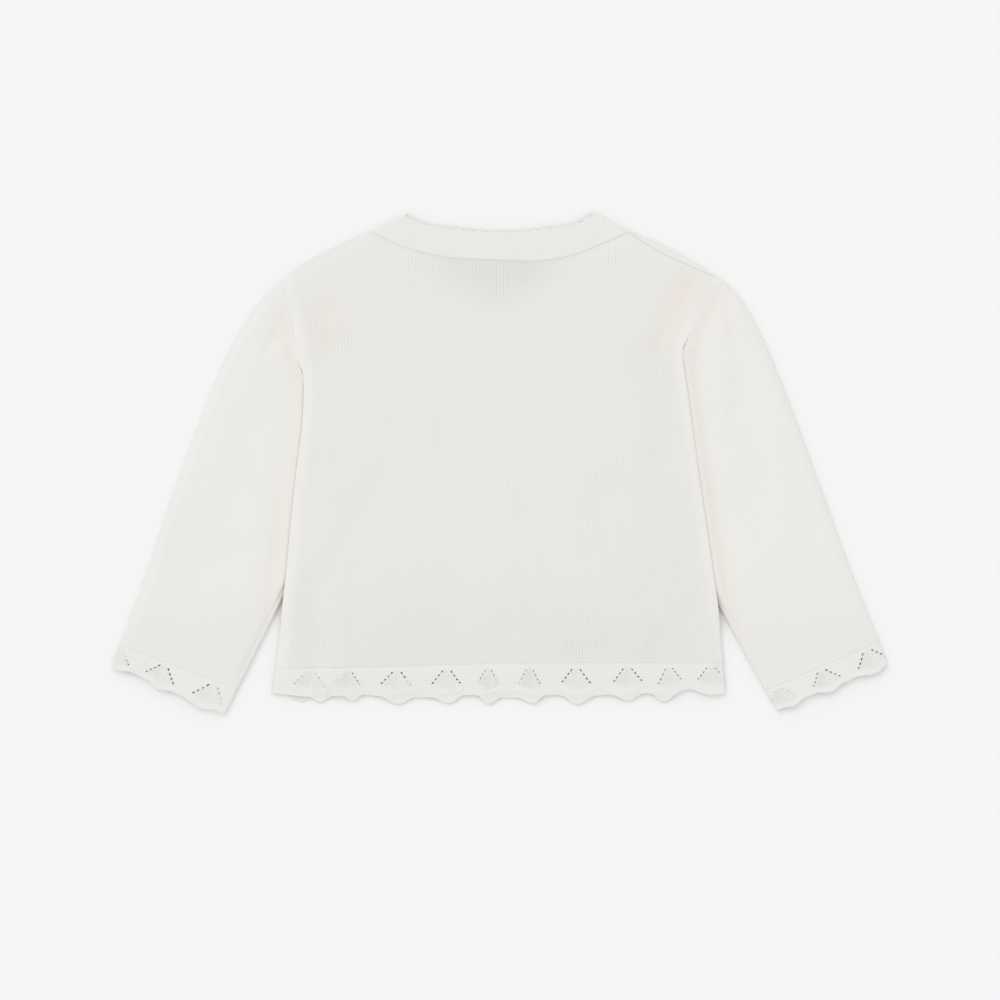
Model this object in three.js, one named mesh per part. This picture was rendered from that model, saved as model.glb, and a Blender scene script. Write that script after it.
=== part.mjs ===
import * as THREE from 'three';

// A baby's knitted bolero, laid flat with its back up. Millimetres: +X to the right, +Y towards the neck,
// +Z up, and it rests on Z = 0. The body is two layers, the back on the two fronts, which meet at the
// shoulder and side folds. Each sleeve is a flattened tube that runs in under the body at the armpit, so
// the body rises over it there. A neckband folds over at both neck points, and scalloped lace borders end
// the body and the sleeves. Every piece is a knitted wall, and a seam is a narrow gap between two pieces.

// ---- Cloth ----

const WALL = 1.4;
const BAND_WALL = 1.6;
const SEAM_GAP = 0.3;
const LAYER_GAP = 0.6;

// Where two layers turn into each other: the fold's radius, and the height halfway between the layers
const FOLD_RADIUS = (WALL + LAYER_GAP) / 2;
const MIDDLE_HEIGHT = WALL / 2 + FOLD_RADIUS;
const BAND_MIDDLE_HEIGHT = BAND_WALL / 2 + FOLD_RADIUS;

// ---- Body: outline from the shoulder points down the armholes and sides, and across ----

const LEFT_SIDE = [
  { x: -130.5, y: 109.3 },
  { x: -128.0, y: 96.0 },
  { x: -124.3, y: 83.0 },
  { x: -122.8, y: 70.0 },
  { x: -121.0, y: 61.0 },
  { x: -118.0, y: 53.0 },
  { x: -117.6, y: 40.0 },
  { x: -118.6, y: 22.0 },
  { x: -123.0, y: -13.0 },
  { x: -129.4, y: -77.0 },
  { x: -134.8, y: -122.4 },
];
const RIGHT_SIDE = [
  { x: 133.5, y: 109.8 },
  { x: 127.0, y: 97.0 },
  { x: 119.5, y: 85.4 },
  { x: 113.3, y: 76.2 },
  { x: 109.8, y: 68.0 },
  { x: 110.0, y: 60.0 },
  { x: 112.3, y: 44.0 },
  { x: 115.0, y: 24.5 },
  { x: 119.0, y: -5.0 },
  { x: 130.2, y: -82.0 },
  { x: 133.8, y: -118.8 },
];
const HEM_LINE = [
  { x: -134.8, y: -122.4 },
  { x: -68.0, y: -121.2 },
  { x: 0.0, y: -119.4 },
  { x: 133.8, y: -118.8 },
];
const LEFT_SHOULDER = [
  { x: -130.5, y: 109.3 },
  { x: -114.0, y: 121.2 },
  { x: -95.7, y: 130.8 },
  { x: -77.5, y: 139.0 },
];
const RIGHT_SHOULDER = [
  { x: 78.0, y: 138.7 },
  { x: 92.0, y: 133.4 },
  { x: 112.0, y: 123.3 },
  { x: 133.5, y: 109.8 },
];

// The neckband's two edges across the back, and how far the same two edges drop in front
const BACK_NECK_SEAM = [
  { x: -77.5, y: 139.0 },
  { x: -60.5, y: 130.8 },
  { x: -36.0, y: 124.4 },
  { x: -6.0, y: 122.2 },
  { x: 24.0, y: 121.8 },
  { x: 44.0, y: 125.2 },
  { x: 61.0, y: 131.6 },
  { x: 78.0, y: 138.7 },
];
const BACK_NECK_EDGE = [
  { x: -57.0, y: 149.0 },
  { x: -45.5, y: 144.0 },
  { x: -31.0, y: 141.3 },
  { x: -16.0, y: 139.4 },
  { x: -2.0, y: 138.6 },
  { x: 16.0, y: 139.2 },
  { x: 32.0, y: 141.3 },
  { x: 46.0, y: 143.7 },
  { x: 51.5, y: 146.4 },
  { x: 56.5, y: 150.4 },
];
const FRONT_NECK_SEAM_DROP = 56.0;
const FRONT_NECK_EDGE_DROP = 52.0;
const FRONT_EDGE_GAP = 3.0;
const BAND_SEAM_INSET = 0.45;

// Shares of the body's width, from side to side
const SHOULDER_SHARE = 0.21;
const CENTRE_SHARE = 0.5;
const BODY_WIDTH = 268.0;

// ---- Sleeves: each head follows the armhole seam, then runs in under the body to the armpit ----

// cuffEdge: distance round the cuff from its outer fold, and how far the edge draws back towards the sleeve

const LEFT_SLEEVE = {
  tuckStart: { x: -118.0, y: 53.0 },
  armpit: { x: -93.0, y: 3.0 },
  emerges: { x: -129.6, y: -79.5 },
  outer: [
    { x: -130.5, y: 109.3 },
    { x: -140.8, y: 99.8 },
    { x: -153.0, y: 83.0 },
    { x: -164.8, y: 60.8 },
    { x: -178.0, y: 29.0 },
    { x: -197.3, y: -23.5 },
    { x: -212.6, y: -68.0 },
    { x: -227.4, y: -108.4 },
  ],
  inner: [
    { x: -93.0, y: 3.0 },
    { x: -111.5, y: -41.5 },
    { x: -129.6, y: -79.5 },
    { x: -157.4, y: -135.0 },
  ],
  cuffOuter: { x: -232.5, y: -119.6 },
  cuffInner: { x: -165.0, y: -151.0 },
  cuffEdge: [
    [0, -1.4], [4.5, -2.2], [13.0, 0.2], [23.0, 0.2], [31.0, -2.2], [41.0, 0.2], [45.0, 0.2],
    [59.7, -1.6], [68.6, 0.8], [76.0, 0.6], [91.0, -1.2], [105.0, 1.0], [120.5, -1.4], [135.0, 1.2],
    [149.8, -1.4],
  ],
};
const RIGHT_SLEEVE = {
  tuckStart: { x: 109.8, y: 68.0 },
  armpit: { x: 89.0, y: 2.0 },
  emerges: { x: 130.4, y: -84.0 },
  outer: [
    { x: 133.5, y: 109.8 },
    { x: 142.6, y: 100.8 },
    { x: 151.5, y: 86.4 },
    { x: 162.6, y: 62.6 },
    { x: 175.9, y: 28.8 },
    { x: 193.6, y: -19.2 },
    { x: 211.3, y: -67.2 },
    { x: 226.9, y: -106.0 },
  ],
  inner: [
    { x: 89.0, y: 2.0 },
    { x: 108.0, y: -43.0 },
    { x: 130.4, y: -84.0 },
    { x: 158.8, y: -135.6 },
  ],
  cuffOuter: { x: 232.5, y: -119.6 },
  cuffInner: { x: 166.5, y: -149.4 },
  cuffEdge: [
    [0, 0.2], [9.0, -2.3], [22.0, 0.6], [30.0, 0.6], [38.0, -1.5], [49.0, 1.9], [55.0, 1.9],
    [63.5, 0.0], [70.0, 1.6], [81.0, 3.6], [95.5, 2.1], [110.0, 3.4], [125.5, 0.9], [138.0, 2.6],
    [148.5, 0.2],
  ],
};
const HEAD_VISIBLE_SHARE = 0.48;

// The body rises over a tucked sleeve's two layers, level over the tuck and sloping down round it
const TUCK_RISE = 2 * WALL + LAYER_GAP + SEAM_GAP;
const TUCK_ROOM = { above: 13.0, beside: 12.0, below: 21.0 };
const TUCK_LEVEL = 2.0;
const TUCK_SLOPE = 12.0;

// ---- Lace borders: the edge turns at each fan's low point and at both ends of the rise between fans ----

const BACK_HEM_EDGE = [
  { x: -137.2, y: -137.4 }, { x: -115.0, y: -139.4 },
  { x: -108.0, y: -142.6 }, { x: -99.5, y: -138.9 }, { x: -94.5, y: -138.9 },
  { x: -88.3, y: -142.0 }, { x: -82.0, y: -138.2 }, { x: -72.5, y: -139.0 },
  { x: -61.5, y: -143.8 }, { x: -51.0, y: -140.2 }, { x: -42.0, y: -139.7 },
  { x: -30.5, y: -143.3 }, { x: -21.0, y: -138.4 }, { x: -14.5, y: -138.5 },
  { x: -6.2, y: -143.7 }, { x: 0.5, y: -140.1 }, { x: 10.5, y: -140.2 },
  { x: 20.0, y: -143.6 }, { x: 27.0, y: -138.5 }, { x: 35.5, y: -138.5 },
  { x: 46.5, y: -143.9 }, { x: 57.5, y: -138.8 }, { x: 66.5, y: -138.3 },
  { x: 76.5, y: -141.8 }, { x: 87.0, y: -137.3 }, { x: 90.0, y: -137.5 },
  { x: 97.8, y: -142.4 }, { x: 110.0, y: -135.6 }, { x: 113.0, y: -134.9 },
  { x: 126.0, y: -138.3 }, { x: 135.4, y: -137.6 },
];

// On the fronts: distance in from the side, and y
const FRONT_HEM_EDGES = {
  left: [
    [0, -137.2], [5, -137.6], [18, -142.2], [28, -137.0], [45, -138.5], [58, -136.2], [71, -138.6],
    [84, -136.2], [97, -138.6], [110, -136.0], [122, -137.8], [140, -135.8],
  ],
  right: [
    [0, -137.4], [8, -138.2], [20, -134.6], [36, -138.4], [49, -135.8], [62, -138.6], [75, -136.0],
    [88, -138.8], [101, -136.0], [114, -138.8], [126, -136.0], [140, -137.0],
  ],
};

// ---- How finely the walls are faceted ----

const FOLD_STEPS = 2;
const SHOULDER_COLUMNS = 5;
const NECK_HALF_COLUMNS = 6;
const ARMHOLE_ROWS = { count: 7, spacing: 0.034 };
const ROWS_BELOW_ARMHOLE = 9;
const TUCKED_HEAD_COLUMNS = 4;
const SLEEVE_ROWS = 8;
const BACK_HEM_COLUMNS = 50;
const FRONT_HEM_COLUMNS = 24;
const CUFF_COLUMNS = 12;

const mix = (from, to, share) => from + (to - from) * share;
const evenly = (count) => Array.from({ length: count }, (_, i) => (i + 1) / (count + 1));

// ---- Lines on the table, each a function of the share of its length ----

function smoothLine(rows) {
  const curve = new THREE.CatmullRomCurve3(rows.map(({ x, y }) => new THREE.Vector3(x, y, 0)));
  return (share) => curve.getPointAt(THREE.MathUtils.clamp(share, 0, 1));
}

function straightLine(start, end) {
  return (share) => new THREE.Vector3(mix(start.x, end.x, share), mix(start.y, end.y, share), 0);
}

// Two lines in a row, the first over the stated share of the whole
function joinedLine(first, second, firstShare) {
  return (share) => {
    if (share <= firstShare) return first(share / firstShare);
    return second((share - firstShare) / (1 - firstShare));
  };
}

const reversedLine = (line) => (share) => line(1 - share);

// The same line with straight facets between the stated shares, so that two pieces can share its facets
function facetedLine(line, shares) {
  const corners = [0, ...shares, 1];
  const points = corners.map(line);
  return (share) => {
    const next = Math.max(1, corners.findIndex((corner) => corner >= share));
    const along = (share - corners[next - 1]) / (corners[next] - corners[next - 1]);
    return points[next - 1].clone().lerp(points[next], along);
  };
}

// Where a line that runs down passes a height, by halving the stretch that holds it
const HALVINGS = 40;

function shareAtHeight(line, y) {
  let above = 0;
  let below = 1;
  for (let step = 0; step < HALVINGS; step += 1) {
    const middle = (above + below) / 2;
    if (line(middle).y > y) above = middle;
    else below = middle;
  }
  return (above + below) / 2;
}

// A stretch of cloth from its four edges. top and bottom run left to right, left and right run down
function fourSided({ top, bottom, left, right }) {
  return (u, v) => new THREE.Vector3()
    .addScaledVector(top(u), 1 - v)
    .addScaledVector(bottom(u), v)
    .addScaledVector(left(v), 1 - u)
    .addScaledVector(right(v), u)
    .addScaledVector(top(0), -(1 - u) * (1 - v))
    .addScaledVector(top(1), -u * (1 - v))
    .addScaledVector(bottom(0), -(1 - u) * v)
    .addScaledVector(bottom(1), -u * v);
}

// ---- Folds and seams ----

// Turns through a fold, from its outermost line, where the wall stands upright, to where it lies flat
const FOLD_TURNS = Array.from({ length: FOLD_STEPS + 1 }, (_, i) => i / FOLD_STEPS * Math.PI / 2);

// Stops by an edge of a piece, as distances in from the outline and heights above the middle height.
// A fold starts level with the middle, or a little above it where it starts at a seam
const EDGES = {
  seam: [{ flatInset: SEAM_GAP / 2, turn: null }],
  fold: foldStops(0),
  seamInFold: foldStops(SEAM_GAP / 2),
};

function foldStops(start) {
  return FOLD_TURNS.map((turn) => ({
    flatInset: SEAM_GAP / 2 + FOLD_RADIUS * turn,
    inset: FOLD_RADIUS * (1 - Math.cos(turn)),
    rise: mix(start, FOLD_RADIUS, Math.sin(turn)),
    turn,
  }));
}

function stopsByEdge(edge, wall, folded) {
  return EDGES[edge].map(({ flatInset, inset, rise, turn }) => {
    if (turn === null) return { inset: flatInset, rise: FOLD_RADIUS };
    return { inset: mix(flatInset, wall / 2 + inset, folded), rise: mix(FOLD_RADIUS, rise, folded) };
  });
}

// Every stop along one direction of a piece: by its first edge, in between, and by its last edge
function placeStops({ first, between, last }, length, wall, foldedFirst, foldedLast) {
  const opening = stopsByEdge(first, wall, foldedFirst)
    .map(({ inset, rise }) => ({ share: inset / length, rise }));
  const closing = stopsByEdge(last, wall, foldedLast)
    .map(({ inset, rise }) => ({ share: 1 - inset / length, rise }));
  const middle = between.map((share) => ({ share, rise: FOLD_RADIUS }));
  return [...opening, ...middle, ...closing.reverse()];
}

const never = () => 0;
const always = () => 1;

// ---- Walls ----

// The middle of a panel's wall, as rows of points. layer is 1 for the upper layer and -1 for the lower
function panelRows({ plan, columns, rows, layer, lift, foldedLeft, foldedRight, foldedTop }) {
  const nominal = placeStops(columns, plan(0, 0.5).distanceTo(plan(1, 0.5)), WALL, 0, 0);
  const grid = [];
  nominal.forEach(({ share: across }, column) => {
    const height = plan(across, 0).distanceTo(plan(across, 1));
    placeStops(rows, height, WALL, foldedTop(across), 0).forEach((down, row) => {
      const width = plan(0, down.share).distanceTo(plan(1, down.share));
      const folds = [foldedLeft(down.share), foldedRight(down.share)];
      const stop = placeStops(columns, width, WALL, ...folds)[column];
      const point = plan(stop.share, down.share);
      point.z = MIDDLE_HEIGHT + lift(point) + layer * Math.min(stop.rise, down.rise);
      grid[row] ??= [];
      grid[row].push(point);
    });
  });
  return grid;
}

// The middle of a flattened tube's wall: each row goes out over the upper layer and back under
function tubeRows({ upperPlan, lowerPlan, between, betweenRows }) {
  const columns = { first: 'fold', between, last: 'fold' };
  const length = upperPlan(0.5, 0).distanceTo(upperPlan(0.5, 1));
  const rows = placeStops({ first: 'seam', between: betweenRows, last: 'seam' }, length, WALL, 0, 0);
  return rows.map(({ share: down }) => {
    const width = upperPlan(0, down).distanceTo(upperPlan(1, down));
    const stops = placeStops(columns, width, WALL, 1, 1);
    const pointOn = (plan, layer) => ({ share, rise }) => {
      const point = plan(share, down);
      point.z = MIDDLE_HEIGHT + layer * rise;
      return point;
    };
    const under = stops.slice(1, -1).reverse();
    return [...stops.map(pointOn(upperPlan, 1)), ...under.map(pointOn(lowerPlan, -1))];
  });
}

// The direction of a row of points, which near its end also follows how the row bends
function direction(point, isFirst, isLast) {
  if (!isFirst && !isLast) return point(1).clone().sub(point(-1));
  const inward = isFirst ? 1 : -1;
  return new THREE.Vector3()
    .addScaledVector(point(0), -3 * inward)
    .addScaledVector(point(inward), 4 * inward)
    .addScaledVector(point(2 * inward), -inward);
}

// A closed wall, half its thickness to each side of its middle. A ring's last column meets its first
function wallGeometry(rows, wall, ring = false) {
  const columnCount = rows[0].length;
  const endRow = rows.length - 1;
  const endColumn = columnCount - 1;
  const pointAt = (row, column) => rows[row][(column + columnCount) % columnCount];
  const positions = [];
  [wall / 2, -wall / 2].forEach((offset) => {
    rows.forEach((row, r) => row.forEach((middle, c) => {
      const across = direction((step) => pointAt(r, c + step), !ring && c === 0, !ring && c === endColumn);
      const down = direction((step) => pointAt(r + step, c), r === 0, r === endRow);
      const normal = down.cross(across).normalize();
      positions.push(...middle.clone().addScaledVector(normal, offset).toArray());
    }));
  });

  const vertex = (side, row, column) => (side * rows.length + row) * columnCount + (column % columnCount);
  const outside = (row, column) => vertex(0, row, column);
  const inside = (row, column) => vertex(1, row, column);
  const faces = [];
  const addQuad = (a, b, c, d) => faces.push(a, b, c, a, c, d);
  for (let c = 0; c < (ring ? columnCount : endColumn); c += 1) {
    for (let r = 0; r < endRow; r += 1) {
      addQuad(outside(r, c), outside(r + 1, c), outside(r + 1, c + 1), outside(r, c + 1));
      addQuad(inside(r, c), inside(r, c + 1), inside(r + 1, c + 1), inside(r + 1, c));
    }
    addQuad(outside(0, c), outside(0, c + 1), inside(0, c + 1), inside(0, c));
    addQuad(inside(endRow, c), inside(endRow, c + 1), outside(endRow, c + 1), outside(endRow, c));
  }
  for (let r = 0; r < endRow && !ring; r += 1) {
    addQuad(inside(r, 0), inside(r + 1, 0), outside(r + 1, 0), outside(r, 0));
    addQuad(outside(r, endColumn), outside(r + 1, endColumn), inside(r + 1, endColumn), inside(r, endColumn));
  }
  const geometry = new THREE.BufferGeometry();
  geometry.setAttribute('position', new THREE.Float32BufferAttribute(positions, 3));
  geometry.setIndex(faces);
  geometry.computeVertexNormals();
  return geometry;
}

const PLAIN_KNIT = { color: '#f4f2ee', roughness: 0.92, metalness: 0 };
const DOUBLE_KNIT = { color: '#f3f1ed', roughness: 0.9, metalness: 0 };
const LACE_KNIT = { color: '#f6f4f1', roughness: 0.9, metalness: 0 };

const garment = new THREE.Group();

function addPiece(name, geometry, finish) {
  const mesh = new THREE.Mesh(geometry, new THREE.MeshStandardMaterial(finish));
  mesh.name = name;
  garment.add(mesh);
}

// ---- The body's plan ----

// Columns from a side to the centre: over the shoulder, then closer together where the neckline is steep
const CORNER = 0.006;
const neckShare = (turn, centreShare) => mix(SHOULDER_SHARE, centreShare, 1 - Math.cos(turn * Math.PI / 2));

function halfColumns(centreShare) {
  const shoulder = evenly(SHOULDER_COLUMNS).map((share) => share * SHOULDER_SHARE);
  const neck = evenly(NECK_HALF_COLUMNS - 1).map((turn) => neckShare(turn, centreShare));
  return [...shoulder, SHOULDER_SHARE - CORNER, SHOULDER_SHARE, ...neck];
}

const mirrored = (shares) => shares.map((share) => 1 - share).reverse();

const backHalf = halfColumns(CENTRE_SHARE);
const backColumns = [...backHalf, CENTRE_SHARE, ...mirrored(backHalf)];
const armholeRows = Array.from({ length: ARMHOLE_ROWS.count }, (_, i) => (i + 1) * ARMHOLE_ROWS.spacing);
const rowsBelow = evenly(ROWS_BELOW_ARMHOLE).map((share) => mix(armholeRows.at(-1), 1, share));
const bodyRows = { first: 'seamInFold', between: [...armholeRows, ...rowsBelow], last: 'seam' };

// Every neighbour of the body follows these four edges, facet by facet
const backNeckSeam = smoothLine(BACK_NECK_SEAM);
const neckAndRightShoulder = joinedLine(
  backNeckSeam,
  smoothLine(RIGHT_SHOULDER),
  (1 - 2 * SHOULDER_SHARE) / (1 - SHOULDER_SHARE),
);
const smoothTop = joinedLine(smoothLine(LEFT_SHOULDER), neckAndRightShoulder, SHOULDER_SHARE);
const bodyTop = facetedLine(smoothTop, backColumns);
const leftSide = facetedLine(smoothLine(LEFT_SIDE), bodyRows.between);
const rightSide = facetedLine(smoothLine(RIGHT_SIDE), bodyRows.between);
const hemLine = facetedLine(smoothLine(HEM_LINE), backColumns);
const bodyPlan = fourSided({ top: bodyTop, bottom: hemLine, left: leftSide, right: rightSide });

// ---- How far the body rises over the tucked sleeves ----

function tuckUnder({ tuckStart, armpit, emerges }) {
  const inward = Math.sign(armpit.x - emerges.x);
  const level = new THREE.Triangle(
    new THREE.Vector3(tuckStart.x, tuckStart.y + TUCK_ROOM.above, 0),
    new THREE.Vector3(armpit.x + inward * TUCK_ROOM.beside, armpit.y, 0),
    new THREE.Vector3(emerges.x, emerges.y - TUCK_ROOM.below, 0),
  );
  return (point) => {
    const onTable = new THREE.Vector3(point.x, point.y, 0);
    const distance = level.closestPointToPoint(onTable, new THREE.Vector3()).distanceTo(onTable);
    return 1 - THREE.MathUtils.smoothstep(distance, TUCK_LEVEL, TUCK_LEVEL + TUCK_SLOPE);
  };
}

const leftTuck = tuckUnder(LEFT_SLEEVE);
const rightTuck = tuckUnder(RIGHT_SLEEVE);
const bodyLift = (point) => TUCK_RISE * Math.max(leftTuck(point), rightTuck(point));

// A body side is a seam against the sleeve down to the tuck, and turns into a fold just above it
const FOLD_FADE = 12.0;

function foldedBelow(side, tuckStart) {
  return (share) => THREE.MathUtils.smoothstep(tuckStart.y + FOLD_FADE - side(share).y, 0, FOLD_FADE);
}

const foldedLeft = foldedBelow(leftSide, LEFT_SLEEVE.tuckStart);
const foldedRight = foldedBelow(rightSide, RIGHT_SLEEVE.tuckStart);

// The shoulders are folds up to the neck corners, where the panels meet the neckband
const foldedShoulder = (share) => (Math.min(share, 1 - share) < SHOULDER_SHARE - CORNER / 2 ? 1 : 0);

// ---- Back ----

addPiece('back', wallGeometry(panelRows({
  plan: bodyPlan,
  columns: { first: 'seamInFold', between: backColumns, last: 'seamInFold' },
  rows: bodyRows,
  layer: 1,
  lift: bodyLift,
  foldedLeft,
  foldedRight,
  foldedTop: foldedShoulder,
}), WALL), PLAIN_KNIT);

// ---- Fronts: the back's own points, one layer lower, cut away at the neck and the centre ----

const FRONT_SHARE = CENTRE_SHARE - FRONT_EDGE_GAP / 2 / BODY_WIDTH;

// How far down the body the front neck seam lies, at a share of the body's width
function frontNeckDepth(share) {
  const fromSide = Math.min(share, 1 - share);
  if (fromSide <= SHOULDER_SHARE) return 0;
  const towardsCentre = Math.min((fromSide - SHOULDER_SHARE) / (FRONT_SHARE - SHOULDER_SHARE), 1);
  const corner = bodyTop(share < CENTRE_SHARE ? SHOULDER_SHARE : 1 - SHOULDER_SHARE);
  const drop = Math.sqrt(1 - (1 - towardsCentre) ** 2) * FRONT_NECK_SEAM_DROP;
  const top = bodyTop(share).y;
  return (top - (corner.y - drop)) / (top - hemLine(share).y);
}

const frontHalf = halfColumns(FRONT_SHARE);
const FRONTS = {
  left: {
    from: 0,
    to: FRONT_SHARE,
    columns: { first: 'seamInFold', between: frontHalf, last: 'seam' },
    folded: { foldedLeft, foldedRight: never },
  },
  right: {
    from: 1 - FRONT_SHARE,
    to: 1,
    columns: { first: 'seam', between: mirrored(frontHalf), last: 'seamInFold' },
    folded: { foldedLeft: never, foldedRight },
  },
};

function bodyFrontPoint(share, down) {
  return bodyPlan(share, mix(frontNeckDepth(share), 1, down));
}

for (const [side, { from, to, columns, folded }] of Object.entries(FRONTS)) {
  addPiece(`front_${side}`, wallGeometry(panelRows({
    plan: (u, v) => bodyFrontPoint(mix(from, to, u), v),
    columns: { ...columns, between: columns.between.map((share) => (share - from) / (to - from)) },
    rows: bodyRows,
    layer: -1,
    lift: bodyLift,
    ...folded,
    foldedTop: (u) => foldedShoulder(mix(from, to, u)),
  }), WALL), PLAIN_KNIT);
}

// ---- Sleeves ----

const SLEEVES = {
  left: { ...LEFT_SLEEVE, side: leftSide },
  right: { ...RIGHT_SLEEVE, side: rightSide },
};

for (const [name, sleeve] of Object.entries(SLEEVES)) {
  const tuckShare = shareAtHeight(sleeve.side, sleeve.tuckStart.y);
  const seam = (share) => sleeve.side(share * tuckShare);
  const head = joinedLine(seam, straightLine(sleeve.tuckStart, sleeve.armpit), HEAD_VISIBLE_SHARE);
  const outer = smoothLine(sleeve.outer);
  const inner = smoothLine(sleeve.inner);
  const end = straightLine(sleeve.outer.at(-1), sleeve.inner.at(-1));
  const seamColumns = armholeRows.filter((share) => share < tuckShare - CORNER)
    .map((share) => share / tuckShare * HEAD_VISIBLE_SHARE);
  const tucked = evenly(TUCKED_HEAD_COLUMNS).map((share) => mix(HEAD_VISIBLE_SHARE, 1, share));
  const fromOuter = [...seamColumns, HEAD_VISIBLE_SHARE, ...tucked];
  const isLeft = name === 'left';
  const plan = fourSided({
    top: isLeft ? head : reversedLine(head),
    bottom: isLeft ? end : reversedLine(end),
    left: isLeft ? outer : inner,
    right: isLeft ? inner : outer,
  });
  addPiece(`sleeve_${name}`, wallGeometry(tubeRows({
    upperPlan: plan,
    lowerPlan: plan,
    between: isLeft ? fromOuter : mirrored(fromOuter),
    betweenRows: evenly(SLEEVE_ROWS),
  }), WALL, true), PLAIN_KNIT);
}

// ---- Neckband: one strip, from one front edge over the back to the other front edge ----

const NECK_TURNS = evenly(NECK_HALF_COLUMNS - 1);

function bandAcrossBack() {
  const seam = (share) => bodyTop(mix(SHOULDER_SHARE, 1 - SHOULDER_SHARE, share));
  const edge = smoothLine(BACK_NECK_EDGE);
  const plan = fourSided({
    top: edge,
    bottom: seam,
    left: straightLine(edge(0), seam(0)),
    right: straightLine(edge(1), seam(1)),
  });
  const half = NECK_TURNS.map((turn) => (1 - Math.cos(turn * Math.PI / 2)) / 2);
  const between = [...half, CENTRE_SHARE, ...mirrored(half)];
  return { plan, stops: { first: 'fold', between, last: 'fold' } };
}

// A front stretch, from the fold at the neck point to the centre
function bandDownFront(isLeft) {
  const neckPoint = isLeft ? BACK_NECK_EDGE[0] : BACK_NECK_EDGE.at(-1);
  const seam = facetedLine((turn) => {
    const share = neckShare(turn, FRONT_SHARE);
    return bodyFrontPoint(isLeft ? share : 1 - share, 0);
  }, NECK_TURNS);
  const edge = (turn) => new THREE.Vector3(
    mix(neckPoint.x, seam(1).x, 1 - Math.cos(turn * Math.PI / 2)),
    neckPoint.y - FRONT_NECK_EDGE_DROP * Math.sin(turn * Math.PI / 2),
    0,
  );
  const plan = fourSided({
    top: edge,
    bottom: seam,
    left: straightLine(edge(0), seam(0)),
    right: straightLine(edge(1), seam(1)),
  });
  return { plan, stops: { first: 'fold', between: NECK_TURNS, last: 'seam' } };
}

function bandColumn({ share, rise }, plan, layer) {
  const width = plan(share, 0).distanceTo(plan(share, 1));
  return [0, 0.5, 1 - BAND_SEAM_INSET / width].map((across) => {
    const point = plan(share, across);
    point.z = BAND_MIDDLE_HEIGHT + layer * rise;
    return point;
  });
}

function bandColumns({ plan, stops }, layer, foldedLast) {
  const length = (plan(0, 0.5).distanceTo(plan(0.5, 0.5)) + plan(0.5, 0.5).distanceTo(plan(1, 0.5)));
  return placeStops(stops, length, BAND_WALL, 1, foldedLast).map((stop) => bandColumn(stop, plan, layer));
}

const bandStretches = [
  ...bandColumns(bandDownFront(true), -1, 0).slice(1).reverse(),
  ...bandColumns(bandAcrossBack(), 1, 1),
  ...bandColumns(bandDownFront(false), -1, 0).slice(1),
];
const bandRows = bandStretches[0].map((_, row) => bandStretches.map((column) => column[row]));
addPiece('neckband', wallGeometry(bandRows, BAND_WALL), DOUBLE_KNIT);

// ---- Lace borders of the body ----

// The height of a scalloped edge at a place along it, easing from each turning point to the next
function scallopedEdge(turns, place) {
  const next = Math.max(1, turns.findIndex((turn) => turn.place >= place));
  const [a, b] = [turns[next - 1], turns[next]];
  const share = THREE.MathUtils.clamp((place - a.place) / (b.place - a.place), 0, 1);
  return mix(a.level, b.level, (1 - Math.cos(share * Math.PI)) / 2);
}

const backHemLeft = BACK_HEM_EDGE[0];
const backHemRight = BACK_HEM_EDGE.at(-1);
const backHemTurns = BACK_HEM_EDGE.map(({ x, y }) => ({ place: x, level: y }));
const turnsOf = (pairs) => pairs.map(([place, level]) => ({ place, level }));

const backHemBottom = (share) => {
  const x = mix(backHemLeft.x, backHemRight.x, share);
  return new THREE.Vector3(x, scallopedEdge(backHemTurns, x), 0);
};

const HEM_ROWS = { first: 'seam', between: [0.5], last: 'seam' };

addPiece('hem_back', wallGeometry(panelRows({
  plan: fourSided({
    top: hemLine,
    bottom: backHemBottom,
    left: straightLine(HEM_LINE[0], backHemLeft),
    right: straightLine(HEM_LINE.at(-1), backHemRight),
  }),
  columns: { first: 'seamInFold', between: evenly(BACK_HEM_COLUMNS), last: 'seamInFold' },
  rows: HEM_ROWS,
  layer: 1,
  lift: bodyLift,
  foldedLeft: always,
  foldedRight: always,
  foldedTop: never,
}), WALL), LACE_KNIT);

for (const [side, { from, to }] of Object.entries(FRONTS)) {
  const isLeft = side === 'left';
  const sideX = isLeft ? backHemLeft.x : backHemRight.x;
  const centreX = hemLine(isLeft ? to : from).x;
  const turns = turnsOf(FRONT_HEM_EDGES[side]);
  const bottom = (share) => {
    const x = isLeft ? mix(sideX, centreX, share) : mix(centreX, sideX, share);
    return new THREE.Vector3(x, scallopedEdge(turns, Math.abs(x - sideX)), 0);
  };
  const top = (share) => hemLine(mix(from, to, share));
  addPiece(`hem_front_${side}`, wallGeometry(panelRows({
    plan: fourSided({
      top,
      bottom,
      left: straightLine(top(0), bottom(0)),
      right: straightLine(top(1), bottom(1)),
    }),
    columns: {
      first: isLeft ? 'seamInFold' : 'seam',
      between: evenly(FRONT_HEM_COLUMNS),
      last: isLeft ? 'seam' : 'seamInFold',
    },
    rows: HEM_ROWS,
    layer: -1,
    lift: bodyLift,
    foldedLeft: isLeft ? always : never,
    foldedRight: isLeft ? never : always,
    foldedTop: never,
  }), WALL), LACE_KNIT);
}

// ---- Lace borders of the sleeves ----

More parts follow.
